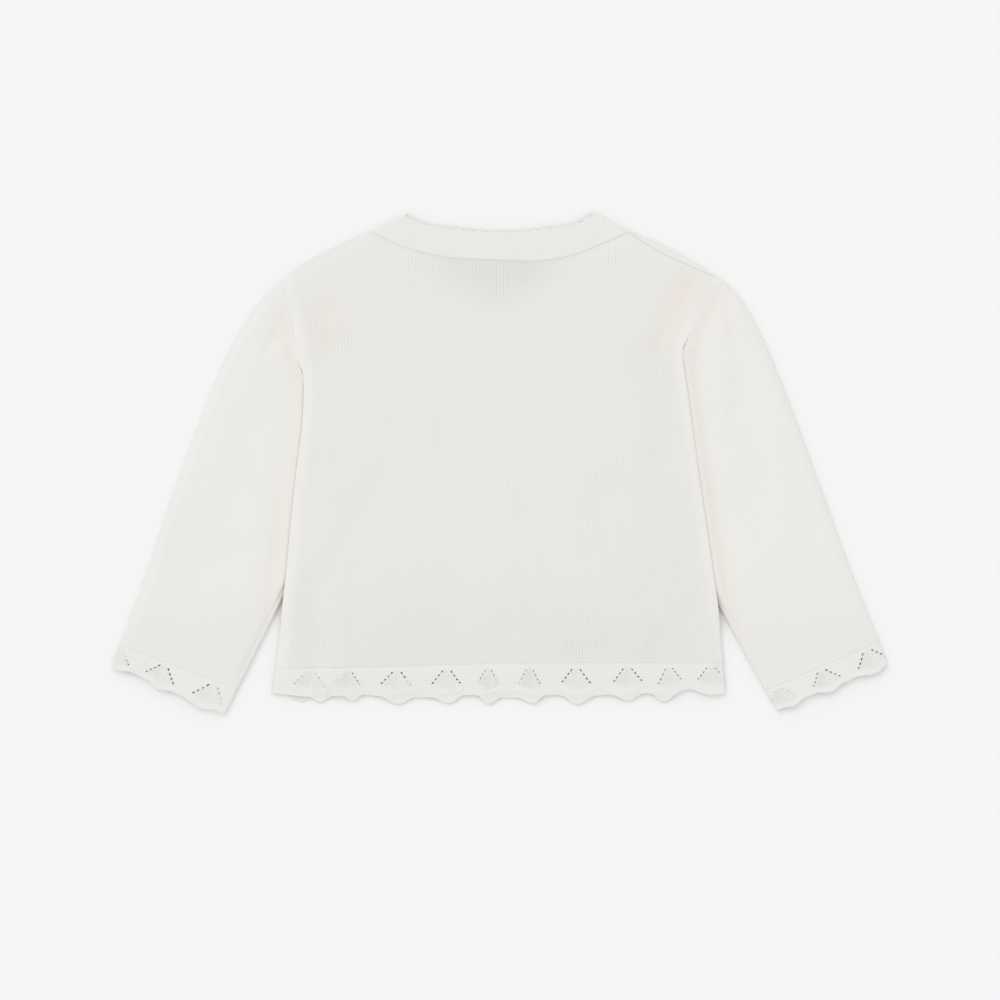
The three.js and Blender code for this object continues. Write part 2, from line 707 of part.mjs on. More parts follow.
for (const [name, sleeve] of Object.entries(SLEEVES)) {
  const isLeft = name === 'left';
  const end = straightLine(sleeve.outer.at(-1), sleeve.inner.at(-1));
  const width = end(0).distanceTo(end(1));
  const turns = turnsOf(sleeve.cuffEdge);
  const rim = straightLine(sleeve.cuffOuter, sleeve.cuffInner);
  const towardsSleeve = new THREE.Vector3(rim(0).y - rim(1).y, rim(1).x - rim(0).x, 0)
    .normalize()
    .multiplyScalar(isLeft ? 1 : -1);
  const plan = (layer) => {
    const bottom = (share) => {
      const around = layer > 0 ? share * width : (2 - share) * width;
      return rim(share).addScaledVector(towardsSleeve, scallopedEdge(turns, around));
    };
    const outer = straightLine(end(0), bottom(0));
    const inner = straightLine(end(1), bottom(1));
    return fourSided({
      top: isLeft ? end : reversedLine(end),
      bottom: isLeft ? bottom : reversedLine(bottom),
      left: isLeft ? outer : inner,
      right: isLeft ? inner : outer,
    });
  };
  addPiece(`cuff_${name}`, wallGeometry(tubeRows({
    upperPlan: plan(1),
    lowerPlan: plan(-1),
    between: evenly(CUFF_COLUMNS),
    betweenRows: [0.5],
  }), WALL, true), LACE_KNIT);
}

export default garment;
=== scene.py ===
import math

import bpy
import numpy as np
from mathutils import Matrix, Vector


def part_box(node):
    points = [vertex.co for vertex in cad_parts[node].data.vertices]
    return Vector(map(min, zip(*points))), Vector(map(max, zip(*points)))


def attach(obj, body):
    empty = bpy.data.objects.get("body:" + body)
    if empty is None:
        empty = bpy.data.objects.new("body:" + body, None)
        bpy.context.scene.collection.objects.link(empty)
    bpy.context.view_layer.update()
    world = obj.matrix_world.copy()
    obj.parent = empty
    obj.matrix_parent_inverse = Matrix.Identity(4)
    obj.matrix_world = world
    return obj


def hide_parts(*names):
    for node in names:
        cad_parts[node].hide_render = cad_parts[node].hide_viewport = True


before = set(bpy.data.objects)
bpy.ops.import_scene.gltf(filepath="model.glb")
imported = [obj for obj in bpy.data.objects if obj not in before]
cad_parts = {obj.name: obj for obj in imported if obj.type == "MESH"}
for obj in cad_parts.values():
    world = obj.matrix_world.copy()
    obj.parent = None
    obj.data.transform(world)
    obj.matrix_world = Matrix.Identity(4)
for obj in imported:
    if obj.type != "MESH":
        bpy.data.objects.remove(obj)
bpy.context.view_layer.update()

MM = 0.001

# ---- Table, light and camera ----
# The bolero lies back up on a plain pale table top. The camera looks straight down on it, a little towards
# the hem. A pale dome lights it all round, and one broad, soft lamp stands high on the left.

# Lengths are in millimetres, apart from the table top's size in metres. The lamp's angles are in degrees
CAMERA_LENS = 100.0
VIEW_WIDTH = 600.0
CAMERA_TOWARDS_HEM = 21.6
TABLE_SIZE = 12.0
TABLE_BELOW = 0.05
TABLE_COLOUR = "#f3f3f3"
DOME_COLOUR = "#ffffff"
DOME_STRENGTH = 0.93
LAMP_COLOUR = "#ffffff"
LAMP_STRENGTH = 0.42
LAMP_SOFTNESS = 34.0
LAMP_HEIGHT = 48.0
LAMP_BEARING = 38.0


def linear(colour):
    """An sRGB colour written as #rrggbb, as the linear values that a shader takes."""
    channels = [int(colour[i:i + 2], 16) / 255 for i in (1, 3, 5)]
    return [c / 12.92 if c <= 0.04045 else ((c + 0.055) / 1.055) ** 2.4 for c in channels] + [1.0]


def add_node(tree, kind, settings=None, inputs=None):
    """Adds a node with its settings, and puts a value or a link on each of the inputs named."""
    node = tree.nodes.new(kind)
    for name, value in (settings or {}).items():
        setattr(node, name, value)
    for name, value in (inputs or {}).items():
        if isinstance(value, bpy.types.NodeSocket):
            tree.links.new(value, node.inputs[name])
        else:
            node.inputs[name].default_value = value
    return node


def empty_tree(data):
    data.use_nodes = True
    data.node_tree.nodes.clear()
    return data.node_tree


scene = bpy.context.scene
scene.view_settings.view_transform = "Standard"

camera = bpy.data.objects.new("camera", bpy.data.cameras.new("camera"))
scene.collection.objects.link(camera)
scene.camera = camera
camera.data.lens = CAMERA_LENS
camera_height = VIEW_WIDTH / 2 * CAMERA_LENS / (camera.data.sensor_width / 2)
camera.location = (0, -CAMERA_TOWARDS_HEM * MM, camera_height * MM)

dome = bpy.data.worlds.new("dome")
scene.world = dome
tree = empty_tree(dome)
background = add_node(tree, "ShaderNodeBackground", inputs={
    "Color": linear(DOME_COLOUR), "Strength": DOME_STRENGTH,
})
add_node(tree, "ShaderNodeOutputWorld", inputs={"Surface": background.outputs[0]})

lamp = bpy.data.objects.new("lamp", bpy.data.lights.new("lamp", "SUN"))
scene.collection.objects.link(lamp)
lamp.data.energy = LAMP_STRENGTH
lamp.data.color = linear(LAMP_COLOUR)[:3]
lamp.data.angle = math.radians(LAMP_SOFTNESS)
lamp.rotation_euler = (math.radians(90 - LAMP_HEIGHT), 0, math.radians(LAMP_BEARING - 180))

reach = TABLE_SIZE / 2
table_mesh = bpy.data.meshes.new("table_top")
corners = [(-reach, -reach), (reach, -reach), (reach, reach), (-reach, reach)]
table_mesh.from_pydata([(x, y, -TABLE_BELOW * MM) for x, y in corners], [], [(0, 1, 2, 3)])
table_top = bpy.data.objects.new("table_top", table_mesh)
scene.collection.objects.link(table_top)

# Matt white laminate: flat and pale, with hardly any shine
laminate = bpy.data.materials.new("matt_white_laminate")
tree = empty_tree(laminate)
shader = add_node(tree, "ShaderNodeBsdfPrincipled", inputs={
    "Base Color": linear(TABLE_COLOUR), "Roughness": 0.95, "Specular IOR Level": 0.1,
})
add_node(tree, "ShaderNodeOutputMaterial", inputs={"Surface": shader.outputs[0]})
table_mesh.materials.append(laminate)

# ---- Back ----
# One panel of fine cotton stocking stitch, knitted to shape from the hem up. It is folded down at the
# shoulders and sides, where it joins the fronts, and rises where each sleeve is tucked in under it. Over
# the front neckline there is no cloth below it, so it sinks a little there.

# The knit's thickness, how tightly it folds over, and the height of the middle of such a fold
KNIT = 1.2
FOLD_RADIUS = 1.05
MIDDLE = KNIT / 2 + FOLD_RADIUS

# How far a rounded rim swells out, and how far each piece stops short of a seam
RIM = 0.14
SEAM = 0.06

# The air between back and fronts, the share of it left over a tucked sleeve, and how low a hollow may go
LOFT = 2.4
LOFT_OVER_TUCK = 0.25
DEEPEST = -0.75

# The air is full this far in from the sides and from the top
FULL_FROM_SIDE = 8.0
FULL_FROM_TOP = 9.0

# How far a tucked sleeve raises the body, as the solids have it
TUCK_RISE = (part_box("back")[1].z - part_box("sleeve_left")[1].z) / MM

# Outlines: x and y of each point, in millimetres
LEFT_SIDE = [(-130.5, 109.3), (-128.0, 96.0), (-124.3, 83.0), (-122.8, 70.0), (-121.0, 61.0), (-118.0, 53.0),
             (-117.6, 40.0), (-118.6, 22.0), (-123.0, -13.0), (-129.4, -77.0), (-134.8, -122.4)]
RIGHT_SIDE = [(133.5, 109.8), (127.0, 97.0), (119.5, 85.4), (113.3, 76.2), (109.8, 68.0), (110.0, 60.0),
              (112.3, 44.0), (115.0, 24.5), (119.0, -5.0), (130.2, -82.0), (133.8, -118.8)]
HEM_LINE = [(-134.8, -122.4), (-68.0, -121.2), (0.0, -119.4), (133.8, -118.8)]
LEFT_SHOULDER = [(-130.5, 109.3), (-114.0, 121.2), (-95.7, 130.8), (-77.5, 139.0)]
RIGHT_SHOULDER = [(78.0, 138.7), (92.0, 133.4), (112.0, 123.3), (133.5, 109.8)]
BACK_NECK_SEAM = [(-77.5, 139.0), (-60.5, 130.8), (-36.0, 124.4), (-6.0, 122.2), (24.0, 121.8), (44.0, 125.2),
                  (61.0, 131.6), (78.0, 138.7)]

# Each shoulder's share of the body's width, and the width and length by which the body's grid is spaced
SHOULDER_SHARE = 0.21
BODY_WIDTH = 268.0
PANEL_LENGTH = 255.0

# The right shoulder seam lies on the back, in an arc that runs out at the neck and at the armhole. It is this
# far below the fold where it is lowest, which a power under 1 draws towards the neck
SEAM_BELOW_SHOULDER = 4.6
SEAM_TOWARDS_NECK = 0.75

# Where each sleeve goes in under the body: its tuck's top, the armpit, and where it comes out again
TUCKS = {
    "left": ((-118.0, 53.0), (-93.0, 3.0), (-129.6, -79.5)),
    "right": ((109.8, 68.0), (89.0, 2.0), (130.4, -84.0)),
}

# The body is level over a tuck and this much room round it, and slopes down from there over a distance. Above
# the tuck its side turns from a seam into a fold, over the last distance
TUCK_ROOM = {"above": 9.0, "beside": 8.0, "below": 2.0}
TUCK_LEVEL = 1.0
TUCK_SLOPE = 20.0
FOLD_FADE = 12.0

# The hollow over the front neckline: its middle, half its width, how far down the back it reaches, its depth,
# and the share of the way in from its edge over which it slopes
NECK_HOLLOW = {"middle": (0.0, 141.0), "half_width": 70.0, "drop": 62.0, "depth": 2.2, "slope": 0.55}

# In the neck hollow: how much of the air is pressed out, and how much of its depth the cloth itself goes down
AIR_PRESSED_OUT = 0.9
CLOTH_SINKS = 0.4

# Stitches: the wales lie wider apart towards the neck
WALE_AT_HEM = 1.75
WALE_AT_NECK = 2.05
COURSE = 1.3

# Soft folds: x and y of both ends, half the width, and the height, negative for a hollow
BACK_FOLDS = [
    (-103, 90, -106, 73, 9.0, -2.1),
    (-96, 74, -104, 62, 6.0, -0.9),
    (112, 104, 99, 72, 9.0, -2.3),
    (101, 70, 97, 4, 9.0, -1.2),
    (96, 4, 92, -60, 10.0, -0.6),
    (-113, -72, -114, -134, 8.0, -1.9),
    (-97, -78, -97, -134, 6.0, 0.7),
    (-86, -64, -84, -120, 8.0, -0.5),
    (14, -78, 17, -134, 8.0, 0.7),
    (40, -84, 44, -130, 9.0, -0.7),
    (-30, -70, -34, -130, 12.0, -0.6),
    (88, -70, 96, -126, 11.0, -0.6),
    (-12, -10, 4, -64, 13.0, 0.5),
    (-62, 60, -70, 8, 14.0, 0.4),
    (58, 40, 62, -30, 14.0, -0.4),
]

# Where the stitches are drawn apart, which also paints their hollows darker, a painted shade, and where the
# cloth lies shut in a dent and is painted a warm shade. Each has both ends, half the width, and how much
BACK_DRAWN_AND_SHADED = [
    (-70, -108, 100, -108, 36.0, 0.4),
    (92, 60, 96, -60, 20.0, 0.22),
    (-114, -84, -114, -120, 9.0, 0.2),
]
BACK_DENT_SHADES = [
    (-104, 90, -104, 78, 8.0, 0.5),
    (114, 111, 98, 76, 7.0, 0.7),
]
EVENLY_DRAWN = 0.15
# Over the neck hollow the stitches are drawn apart and painted darker, a painted shade
DRAWN_AND_SHADED_AT_NECK = 0.85

# Along the side folds the stitches close up and the cloth is painted lighter, a painted highlight, fully
# within the first distance and not past the second
CLOSED_AND_LIGHTER_AT_FOLD = 0.6
CLOSED_ZONE = (2.0, 9.0)


def smooth_line(points):
    """A smooth line through the points, as a function of the share of its length."""
    knots = np.array(points, float)
    knots = np.vstack([2 * knots[0] - knots[1], knots, 2 * knots[-1] - knots[-2]])
    t = np.linspace(0, 1, 40)[:, None]
    stretches = []
    for before, start, end, after in zip(knots, knots[1:], knots[2:], knots[3:]):
        pairs = ((before, start), (start, end), (end, after))
        d0, d1, d2 = (math.sqrt(np.linalg.norm(q - p)) for p, q in pairs)
        leave = ((start - before) / d0 - (end - before) / (d0 + d1) + (end - start) / d1) * d1
        arrive = ((end - start) / d1 - (after - start) / (d1 + d2) + (after - end) / d2) * d1
        bend = -3 * start + 3 * end - 2 * leave - arrive
        stretches.append(start + leave * t + bend * t ** 2 + (2 * start - 2 * end + leave + arrive) * t ** 3)
    points = np.vstack([stretches[0]] + [stretch[1:] for stretch in stretches[1:]])
    lengths = np.append(0, np.cumsum(np.linalg.norm(np.diff(points, axis=0), axis=1)))

    def line(share):
        place = np.asarray(share, float) * lengths[-1]
        return np.stack([np.interp(place, lengths, points[:, axis]) for axis in (0, 1)], axis=-1)
    return line


def joined_line(first, second, first_share):
    """Two lines end to end, as one function of the share of the whole."""
    def line(share):
        share = np.asarray(share, float)
        on_first = (share <= first_share)[..., None]
        return np.where(on_first, first(np.clip(share / first_share, 0, 1)),
                        second(np.clip((share - first_share) / (1 - first_share), 0, 1)))
    return line


def four_sided(top, bottom, left, right):
    """A stretch of cloth from its four edges. top and bottom run left to right, left and right run down."""
    def plan(u, v):
        u, v = np.broadcast_arrays(u, v)
        s, t = u[..., None], v[..., None]
        edges = top(u) * (1 - t) + bottom(u) * t + left(v) * (1 - s) + right(v) * s
        ends = (top(0) * (1 - s) + top(1) * s) * (1 - t) + (bottom(0) * (1 - s) + bottom(1) * s) * t
        return edges - ends
    return plan


def ease(value, low=0.0, high=1.0):
    """Rises smoothly from 0 at low to 1 at high."""
    share = np.clip((value - low) / (high - low), 0, 1)
    return share * share * (3 - 2 * share)


def steps(length, spacing, fine, zone):
    """Shares of a length, spaced evenly, and more finely in the zone at each end."""
    near = np.arange(0, zone, fine)
    between = np.linspace(zone, length - zone, round((length - 2 * zone) / spacing) + 1)
    return np.concatenate([near, between, length - near[::-1]]) / length


def lay(share, width, first, last):
    """Where a share of the cloth comes to lie across a piece that ends at each side in a seam or a fold.

    first and last say of each side how far it is a fold, from 0 to 1, and how far the cloth reaches past
    the fold's outermost line. Gives the share of the piece's width, and how far the cloth lies out from
    the middle of the fold.
    """
    def from_edge(distance, folded, over):
        beyond = distance - over
        turn = np.clip(beyond / FOLD_RADIUS, -math.pi / 2, math.pi / 2)
        flat = np.abs(beyond - turn * FOLD_RADIUS)
        at_fold = KNIT / 2 + FOLD_RADIUS * (1 - np.cos(turn)) + flat
        inset = (SEAM + distance) * (1 - folded) + at_fold * folded
        return inset, FOLD_RADIUS * (1 - folded + np.sin(turn) * folded)

    taken_up = KNIT / 2 + FOLD_RADIUS * (1 - math.pi / 2)
    cloth = width - sum(SEAM * (1 - folded) + (taken_up - over) * folded for folded, over in (first, last))
    inset_first, rise_first = from_edge(share * cloth, *first)
    inset_last, rise_last = from_edge((1 - share) * cloth, *last)
    in_first_half = share < 0.5
    across = np.where(in_first_half, inset_first, width - inset_last) / width
    return across, np.where(in_first_half, rise_first, rise_last)


def lay_panel(plan, across, down, left, right, top):
    """Lays out a panel whose left, right and top edges are seams or folds, as lay takes them.

    Gives x, y, how far its folds carry it from their middle, and how far in it lies from the left, right,
    top and bottom edges.
    """
    width = np.linalg.norm(plan(1, down) - plan(0, down), axis=-1)
    height = np.linalg.norm(plan(across, 1) - plan(across, 0), axis=-1)
    across, rise_across = lay(across, width, left, right)
    down, rise_down = lay(down, height, top, (0, 0))
    across, down = np.broadcast_arrays(across, down)
    place = plan(across, down)
    inset = (across * width, (1 - across) * width, down * height, (1 - down) * height)
    return place[..., 0], place[..., 1], np.minimum(rise_across, rise_down), inset


def soft_folds(x, y, rows):
    """The height of all the soft ridges and hollows at each place."""
    height = np.zeros(np.shape(x))
    for x0, y0, x1, y1, half_width, rise in rows:
        length = math.hypot(x1 - x0, y1 - y0)
        along = np.clip(((x - x0) * (x1 - x0) + (y - y0) * (y1 - y0)) / length ** 2, 0, 1)
        distance = np.hypot(x - x0 - along * (x1 - x0), y - y0 - along * (y1 - y0))
        height += rise * np.exp(-(distance / half_width) ** 2)
    return height


def distance_outside(x, y, corners):
    """How far each place lies outside a triangle on the table."""
    nearest = np.full(np.shape(x), np.inf)
    sides = []
    for (x0, y0), (x1, y1) in zip(corners, corners[1:] + corners[:1]):
        along = ((x - x0) * (x1 - x0) + (y - y0) * (y1 - y0)) / ((x1 - x0) ** 2 + (y1 - y0) ** 2)
        along = np.clip(along, 0, 1)
        nearest = np.minimum(nearest, np.hypot(x - x0 - along * (x1 - x0), y - y0 - along * (y1 - y0)))
        sides.append((x1 - x0) * (y - y0) - (y1 - y0) * (x - x0) > 0)
    inside = (sides[0] == sides[1]) & (sides[1] == sides[2])
    return np.where(inside, 0, nearest)


def body_lift(x, y):
    """How far the body is raised by the sleeves tucked in under it."""
    lift = np.zeros(np.shape(x))
    for start, armpit, emerges in TUCKS.values():
        inward = math.copysign(1, armpit[0] - emerges[0])
        level = [
            (start[0], start[1] + TUCK_ROOM["above"]),
            (armpit[0] + inward * TUCK_ROOM["beside"], armpit[1]),
            (emerges[0], emerges[1] - TUCK_ROOM["below"]),
        ]
        outside = distance_outside(x, y, level)
        lift = np.maximum(lift, 1 - ease(outside, TUCK_LEVEL, TUCK_LEVEL + TUCK_SLOPE))
    return TUCK_RISE * lift


def body_air(x, y):
    """How far the back stands off the fronts: the air between them, with the soft folds pressed into it."""
    over_tuck = body_lift(x, y) / TUCK_RISE
    return np.maximum(LOFT * (1 - (1 - LOFT_OVER_TUCK) * over_tuck) + soft_folds(x, y, BACK_FOLDS), DEEPEST)


def neck_sink(x, y):
    """How far the cloth sinks into the front neckline below it."""
    middle_x, middle_y = NECK_HOLLOW["middle"]
    aside = np.abs(x - middle_x) / NECK_HOLLOW["half_width"]
    below = np.abs(y - middle_y) / NECK_HOLLOW["drop"]
    pointedness = 1.5
    radius = (aside ** pointedness + below ** pointedness) ** (1 / pointedness)
    return NECK_HOLLOW["depth"] * ease(1 - radius, 0, NECK_HOLLOW["slope"])


def grid_faces(rows, columns, ring=False):
    """Four-cornered faces between the points of a grid, facing up where its rows run down and across."""
    numbers = np.arange(rows * columns).reshape(rows, columns)
    if ring:
        numbers = np.hstack([numbers, numbers[:, :1]])
    return np.stack([numbers[:-1, :-1], numbers[1:, :-1], numbers[1:, 1:], numbers[:-1, 1:]], axis=-1)


def unit(vectors):
    return vectors / np.linalg.norm(vectors, axis=-1, keepdims=True).clip(1e-9)


# Where the wales of a ring start again, at its seam, the faces between are this many wales wide
CLOSING_WALES = 0.25


def knitted_wall(name, middle, faces, stitches, wall=KNIT, relief=None, purl=None, drawn=None, warm_shade=None,
                 ring=False):
    """A closed wall of knit round its middle surface, with rounded rims at its edges and at its eyelets.

    stitches holds the wale and the course at each point, relief how far the outer side stands proud there,
    purl how far it shows its purl side, drawn how far its stitches are drawn apart, which also deepens their
    painted shade, and the last how much painted warm shade it has where it lies shut in. A ring is closed all
    round, and its wales start again at its seam.
    """
    faces = faces.reshape(-1, 4)
    used, faces = np.unique(faces, return_inverse=True)
    faces = faces.reshape(-1, 4)
    middle, stitches = middle.reshape(-1, 3)[used], stitches.reshape(-1, 2)[used]
    relief, purl, drawn, warm_shade = (np.zeros(len(used)) if values is None else values.reshape(-1)[used]
                                 for values in (relief, purl, drawn, warm_shade))
    corners = middle[faces]
    facing = np.cross(corners[:, 2] - corners[:, 0], corners[:, 3] - corners[:, 1])
    normal = np.zeros_like(middle)
    for corner in range(4):
        np.add.at(normal, faces[:, corner], facing)
    normal = unit(normal)

    start, end = faces.ravel(), np.roll(faces, -1, axis=1).ravel()
    open_edge = ~np.isin(start * len(used) + end, end * len(used) + start)
    start, end = start[open_edge], end[open_edge]
    away = unit(np.cross(middle[end] - middle[start], normal[start] + normal[end]))
    outward = np.zeros_like(middle)
    np.add.at(outward, start, away)
    np.add.at(outward, end, away)
    on_edge = np.unique(start)
    outward = unit(outward[on_edge])

    layers = [middle + normal * (wall / 2 + relief)[:, None], middle - normal * wall / 2]
    copies = [np.arange(len(used)), np.arange(len(used))]
    loops = [np.arange(len(used))]
    total = 2 * len(used)
    for angle in (0.25 * math.pi, 0.0, -0.25 * math.pi):
        swell = wall / 2 + np.where(angle > 0, relief[on_edge], 0)
        layers.append(middle[on_edge] + normal[on_edge] * (swell * math.sin(angle))[:, None]
                      + outward * RIM * math.cos(angle))
        copies.append(on_edge)
        place = np.zeros(len(used), int)
        place[on_edge] = np.arange(total, total + len(on_edge))
        loops.append(place)
        total += len(on_edge)
    loops.append(np.arange(len(used)) + len(used))
    all_faces = [faces, faces[:, ::-1] + len(used)]
    for nearer, farther in zip(loops, loops[1:]):
        all_faces.append(np.stack([nearer[end], nearer[start], farther[start], farther[end]], axis=-1))
    all_faces = np.vstack(all_faces)
    copies = np.concatenate(copies)

    mesh = bpy.data.meshes.new(name)
    mesh.from_pydata((np.vstack(layers) * MM).tolist(), [], all_faces.tolist())
    at_corner = stitches[copies][all_faces]
    if ring:
        wale = at_corner[:, :, 0]
        highest = wale.max(axis=1, keepdims=True)
        started_again = highest - wale > np.ptp(stitches[:, 0]) / 2
        at_corner[:, :, 0] = np.where(started_again, highest + CLOSING_WALES, wale)
    mesh.uv_layers.new(name="stitches").data.foreach_set("uv", at_corner.ravel().astype(np.float32))
    for label, values in (("purl", purl), ("drawn", drawn), ("warm_shade", warm_shade)):
        attribute = mesh.attributes.new(label, "FLOAT", "POINT")
        attribute.data.foreach_set("value", values[copies].astype(np.float32))
    mesh.shade_smooth()
    piece = bpy.data.objects.new(name, mesh)
    scene.collection.objects.link(piece)
    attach(piece, "root")
    return piece


# Combed cotton knitted plain: a matt off-white with no shine, a faint soft bloom where it turns away, and
# painted shade in the hollows between its strands, a greyer colour. Cloth shut in beside another layer is
# painted a warmer, darker tone, a painted shade
YARN_COLOUR = "#e9e8e4"
HOLLOW_SHADE_COLOUR = "#d6d5d2"
SHUT_IN_SHADE_COLOUR = "#eae1d9"
STITCH_DEPTH = 0.13
COTTON = {
    "Roughness": 0.9, "Specular IOR Level": 0.15, "Sheen Weight": 0.15, "Sheen Roughness": 0.6,
}

# A plain stitch, in shares of its wale and its course: how far its strands lean, how far they stand proud,
# and the hollows between two wales and down the middle of one, each with its narrowness and its depth
STRAND_LEAN = 0.8
STRAND_RELIEF = 0.4
WALE_HOLLOW = (4.0, 0.9)
MIDDLE_HOLLOW = (6.0, 0.35)

# A purl stitch: how far its arch bows, and how far it falls away at its sides
ARCH_BOW = 0.25
ARCH_FALL = 0.35

# The tension varies over patches about 40 mm apart. The fibres' fuzz is drawn about 0.4 mm apart, coarser
# than it is, so that it shows
PATCHES_PER_METRE = 24.0
PATCH_GAIN = 1.6
PATCH_CONTRAST = 3.0
FIBRES_PER_METRE = 2600.0
FIBRE_RELIEF = 0.25
TENSION_WHERE_DRAWN = 0.9
BUMP_STRENGTH = 0.8

# How much of the painted shade in the hollows' colour shows: everywhere, where the stitches are drawn apart,
# and where a point lies below the strands' middle level. This last one grows with the tension, up to a limit
SHADE_EVERYWHERE = 0.13
SHADE_WHERE_DRAWN = 0.45
SHADE_IN_HOLLOWS = 0.55
STRAND_LEVEL = 0.55
SHADE_TENSION = 1.4


def cotton_knit(name, yarn, hollow_shade, depth):
    """Matt combed cotton in stocking stitch, drawn from the wales and courses held in the UV map.

    Each stitch is a V of two strands that lean outward as they rise. Purl shows as rows of low arches.
    Between the strands the colour is painted darker, a painted shade, more so where the stitches are drawn
    apart. Cloth shut in beside another layer is painted a warmer, darker tone, a painted shade.
    """
    material = bpy.data.materials.new(name)
    tree = empty_tree(material)

    def maths(operation, *values):
        inputs = dict(enumerate(values))
        return add_node(tree, "ShaderNodeMath", {"operation": operation}, inputs).outputs[0]

    def attribute(label):
        return add_node(tree, "ShaderNodeAttribute", {"attribute_name": label}).outputs["Fac"]

    stitch = add_node(tree, "ShaderNodeUVMap", {"uv_map": "stitches"})
    parts = add_node(tree, "ShaderNodeSeparateXYZ", inputs={0: stitch.outputs[0]})
    wale, course = parts.outputs[0], parts.outputs[1]
    aside = maths("ABSOLUTE", maths("MULTIPLY_ADD", maths("FRACT", wale), 2.0, -1.0))
    up_the_strand = maths("FRACT", maths("MULTIPLY_ADD", aside, -STRAND_LEAN, course))
    strand = maths("SINE", maths("MULTIPLY", up_the_strand, math.pi))
    between_wales = maths("POWER", aside, WALE_HOLLOW[0])
    down_the_middle = maths("POWER", maths("SUBTRACT", 1.0, aside), MIDDLE_HOLLOW[0])
    rounded = maths("MULTIPLY_ADD", between_wales, -WALE_HOLLOW[1], 1.0)
    rounded = maths("MULTIPLY_ADD", down_the_middle, -MIDDLE_HOLLOW[1], rounded)
    plain = maths("MULTIPLY", maths("MULTIPLY_ADD", strand, STRAND_RELIEF, 1 - STRAND_RELIEF), rounded)
    up_the_arch = maths("FRACT", maths("MULTIPLY_ADD", aside, ARCH_BOW, course))
    arch = maths("SINE", maths("MULTIPLY", up_the_arch, math.pi))
    purled = maths("MULTIPLY", arch, maths("MULTIPLY_ADD", aside, -ARCH_FALL, 1.0))
    loops = add_node(tree, "ShaderNodeMix", {"data_type": "FLOAT"}, {
        0: attribute("purl"), 2: plain, 3: purled,
    }).outputs[0]

    place = add_node(tree, "ShaderNodeTexCoord").outputs["Object"]
    patches = add_node(tree, "ShaderNodeTexNoise", inputs={
        "Vector": place, "Scale": PATCHES_PER_METRE, "Detail": 3.0,
    })
    uneven = maths("POWER", maths("MULTIPLY", patches.outputs["Fac"], PATCH_GAIN), PATCH_CONTRAST)
    tension = maths("MULTIPLY_ADD", attribute("drawn"), TENSION_WHERE_DRAWN, uneven)
    fibres = add_node(tree, "ShaderNodeTexNoise", inputs={
        "Vector": place, "Scale": FIBRES_PER_METRE, "Detail": 3.0,
    })
    fuzz = maths("MULTIPLY", fibres.outputs["Fac"], FIBRE_RELIEF)
    bump = add_node(tree, "ShaderNodeBump", inputs={
        "Height": maths("MULTIPLY_ADD", loops, tension, fuzz), "Distance": depth * MM,
        "Strength": BUMP_STRENGTH,
    })

    # Painted shade: the colour darkens towards the hollow shade colour where a point lies low among the
    # strands
    below_level = maths("SUBTRACT", STRAND_LEVEL, loops)
    between = maths("MULTIPLY", below_level, maths("MINIMUM", tension, SHADE_TENSION))
    shade = maths("MULTIPLY_ADD", attribute("drawn"), SHADE_WHERE_DRAWN, SHADE_EVERYWHERE)
    shade = maths("MULTIPLY_ADD", between, SHADE_IN_HOLLOWS, shade)
    open_tone = add_node(tree, "ShaderNodeMix", {"data_type": "RGBA"}, {
        0: shade, 6: linear(yarn), 7: linear(hollow_shade),
    })
    # Painted shade: cloth shut in beside another layer is mixed towards a warmer, darker colour
    tone = add_node(tree, "ShaderNodeMix", {"data_type": "RGBA"}, {
        0: attribute("warm_shade"), 6: open_tone.outputs[2], 7: linear(SHUT_IN_SHADE_COLOUR),
    })
    shader = add_node(tree, "ShaderNodeBsdfPrincipled", inputs={
        "Base Color": tone.outputs[2], "Normal": bump.outputs[0], **COTTON,
    })
    add_node(tree, "ShaderNodeOutputMaterial", inputs={"Surface": shader.outputs[0]})
    return material


left_side, right_side, hem_line = smooth_line(LEFT_SIDE), smooth_line(RIGHT_SIDE), smooth_line(HEM_LINE)
neck_and_right = joined_line(smooth_line(BACK_NECK_SEAM), smooth_line(RIGHT_SHOULDER),
                             (1 - 2 * SHOULDER_SHARE) / (1 - SHOULDER_SHARE))
body_top = joined_line(smooth_line(LEFT_SHOULDER), neck_and_right, SHOULDER_SHARE)
body_plan = four_sided(body_top, hem_line, left_side, right_side)


def body_stitches(x, y):
    upwards = (y - HEM_LINE[0][1]) / (LEFT_SHOULDER[-1][1] - HEM_LINE[0][1])
    wale = WALE_AT_HEM + (WALE_AT_NECK - WALE_AT_HEM) * np.clip(upwards, 0, 1)
    return np.stack([x / wale, y / COURSE], axis=-1)


def side_fold(side, tuck, down):
    """How far a side of the body has turned from a seam with the sleeve into a fold, down its length."""
    return ease(tuck[0][1] + FOLD_FADE - side(down)[..., 1], 0, FOLD_FADE), -RIM


def shoulder_fold(across, panel_side):
    """Whether the top is a fold at each share across the body, and how far the panel reaches past it."""
    short_of_neck = 0.002
    on_shoulder = np.minimum(across, 1 - across) < SHOULDER_SHARE - short_of_neck
    from_neck = (across - 1 + SHOULDER_SHARE) / SHOULDER_SHARE
    over = SEAM_BELOW_SHOULDER * np.sin(math.pi * np.clip(from_neck, 0, 1) ** SEAM_TOWARDS_NECK)
    return on_shoulder.astype(float), panel_side * over - RIM


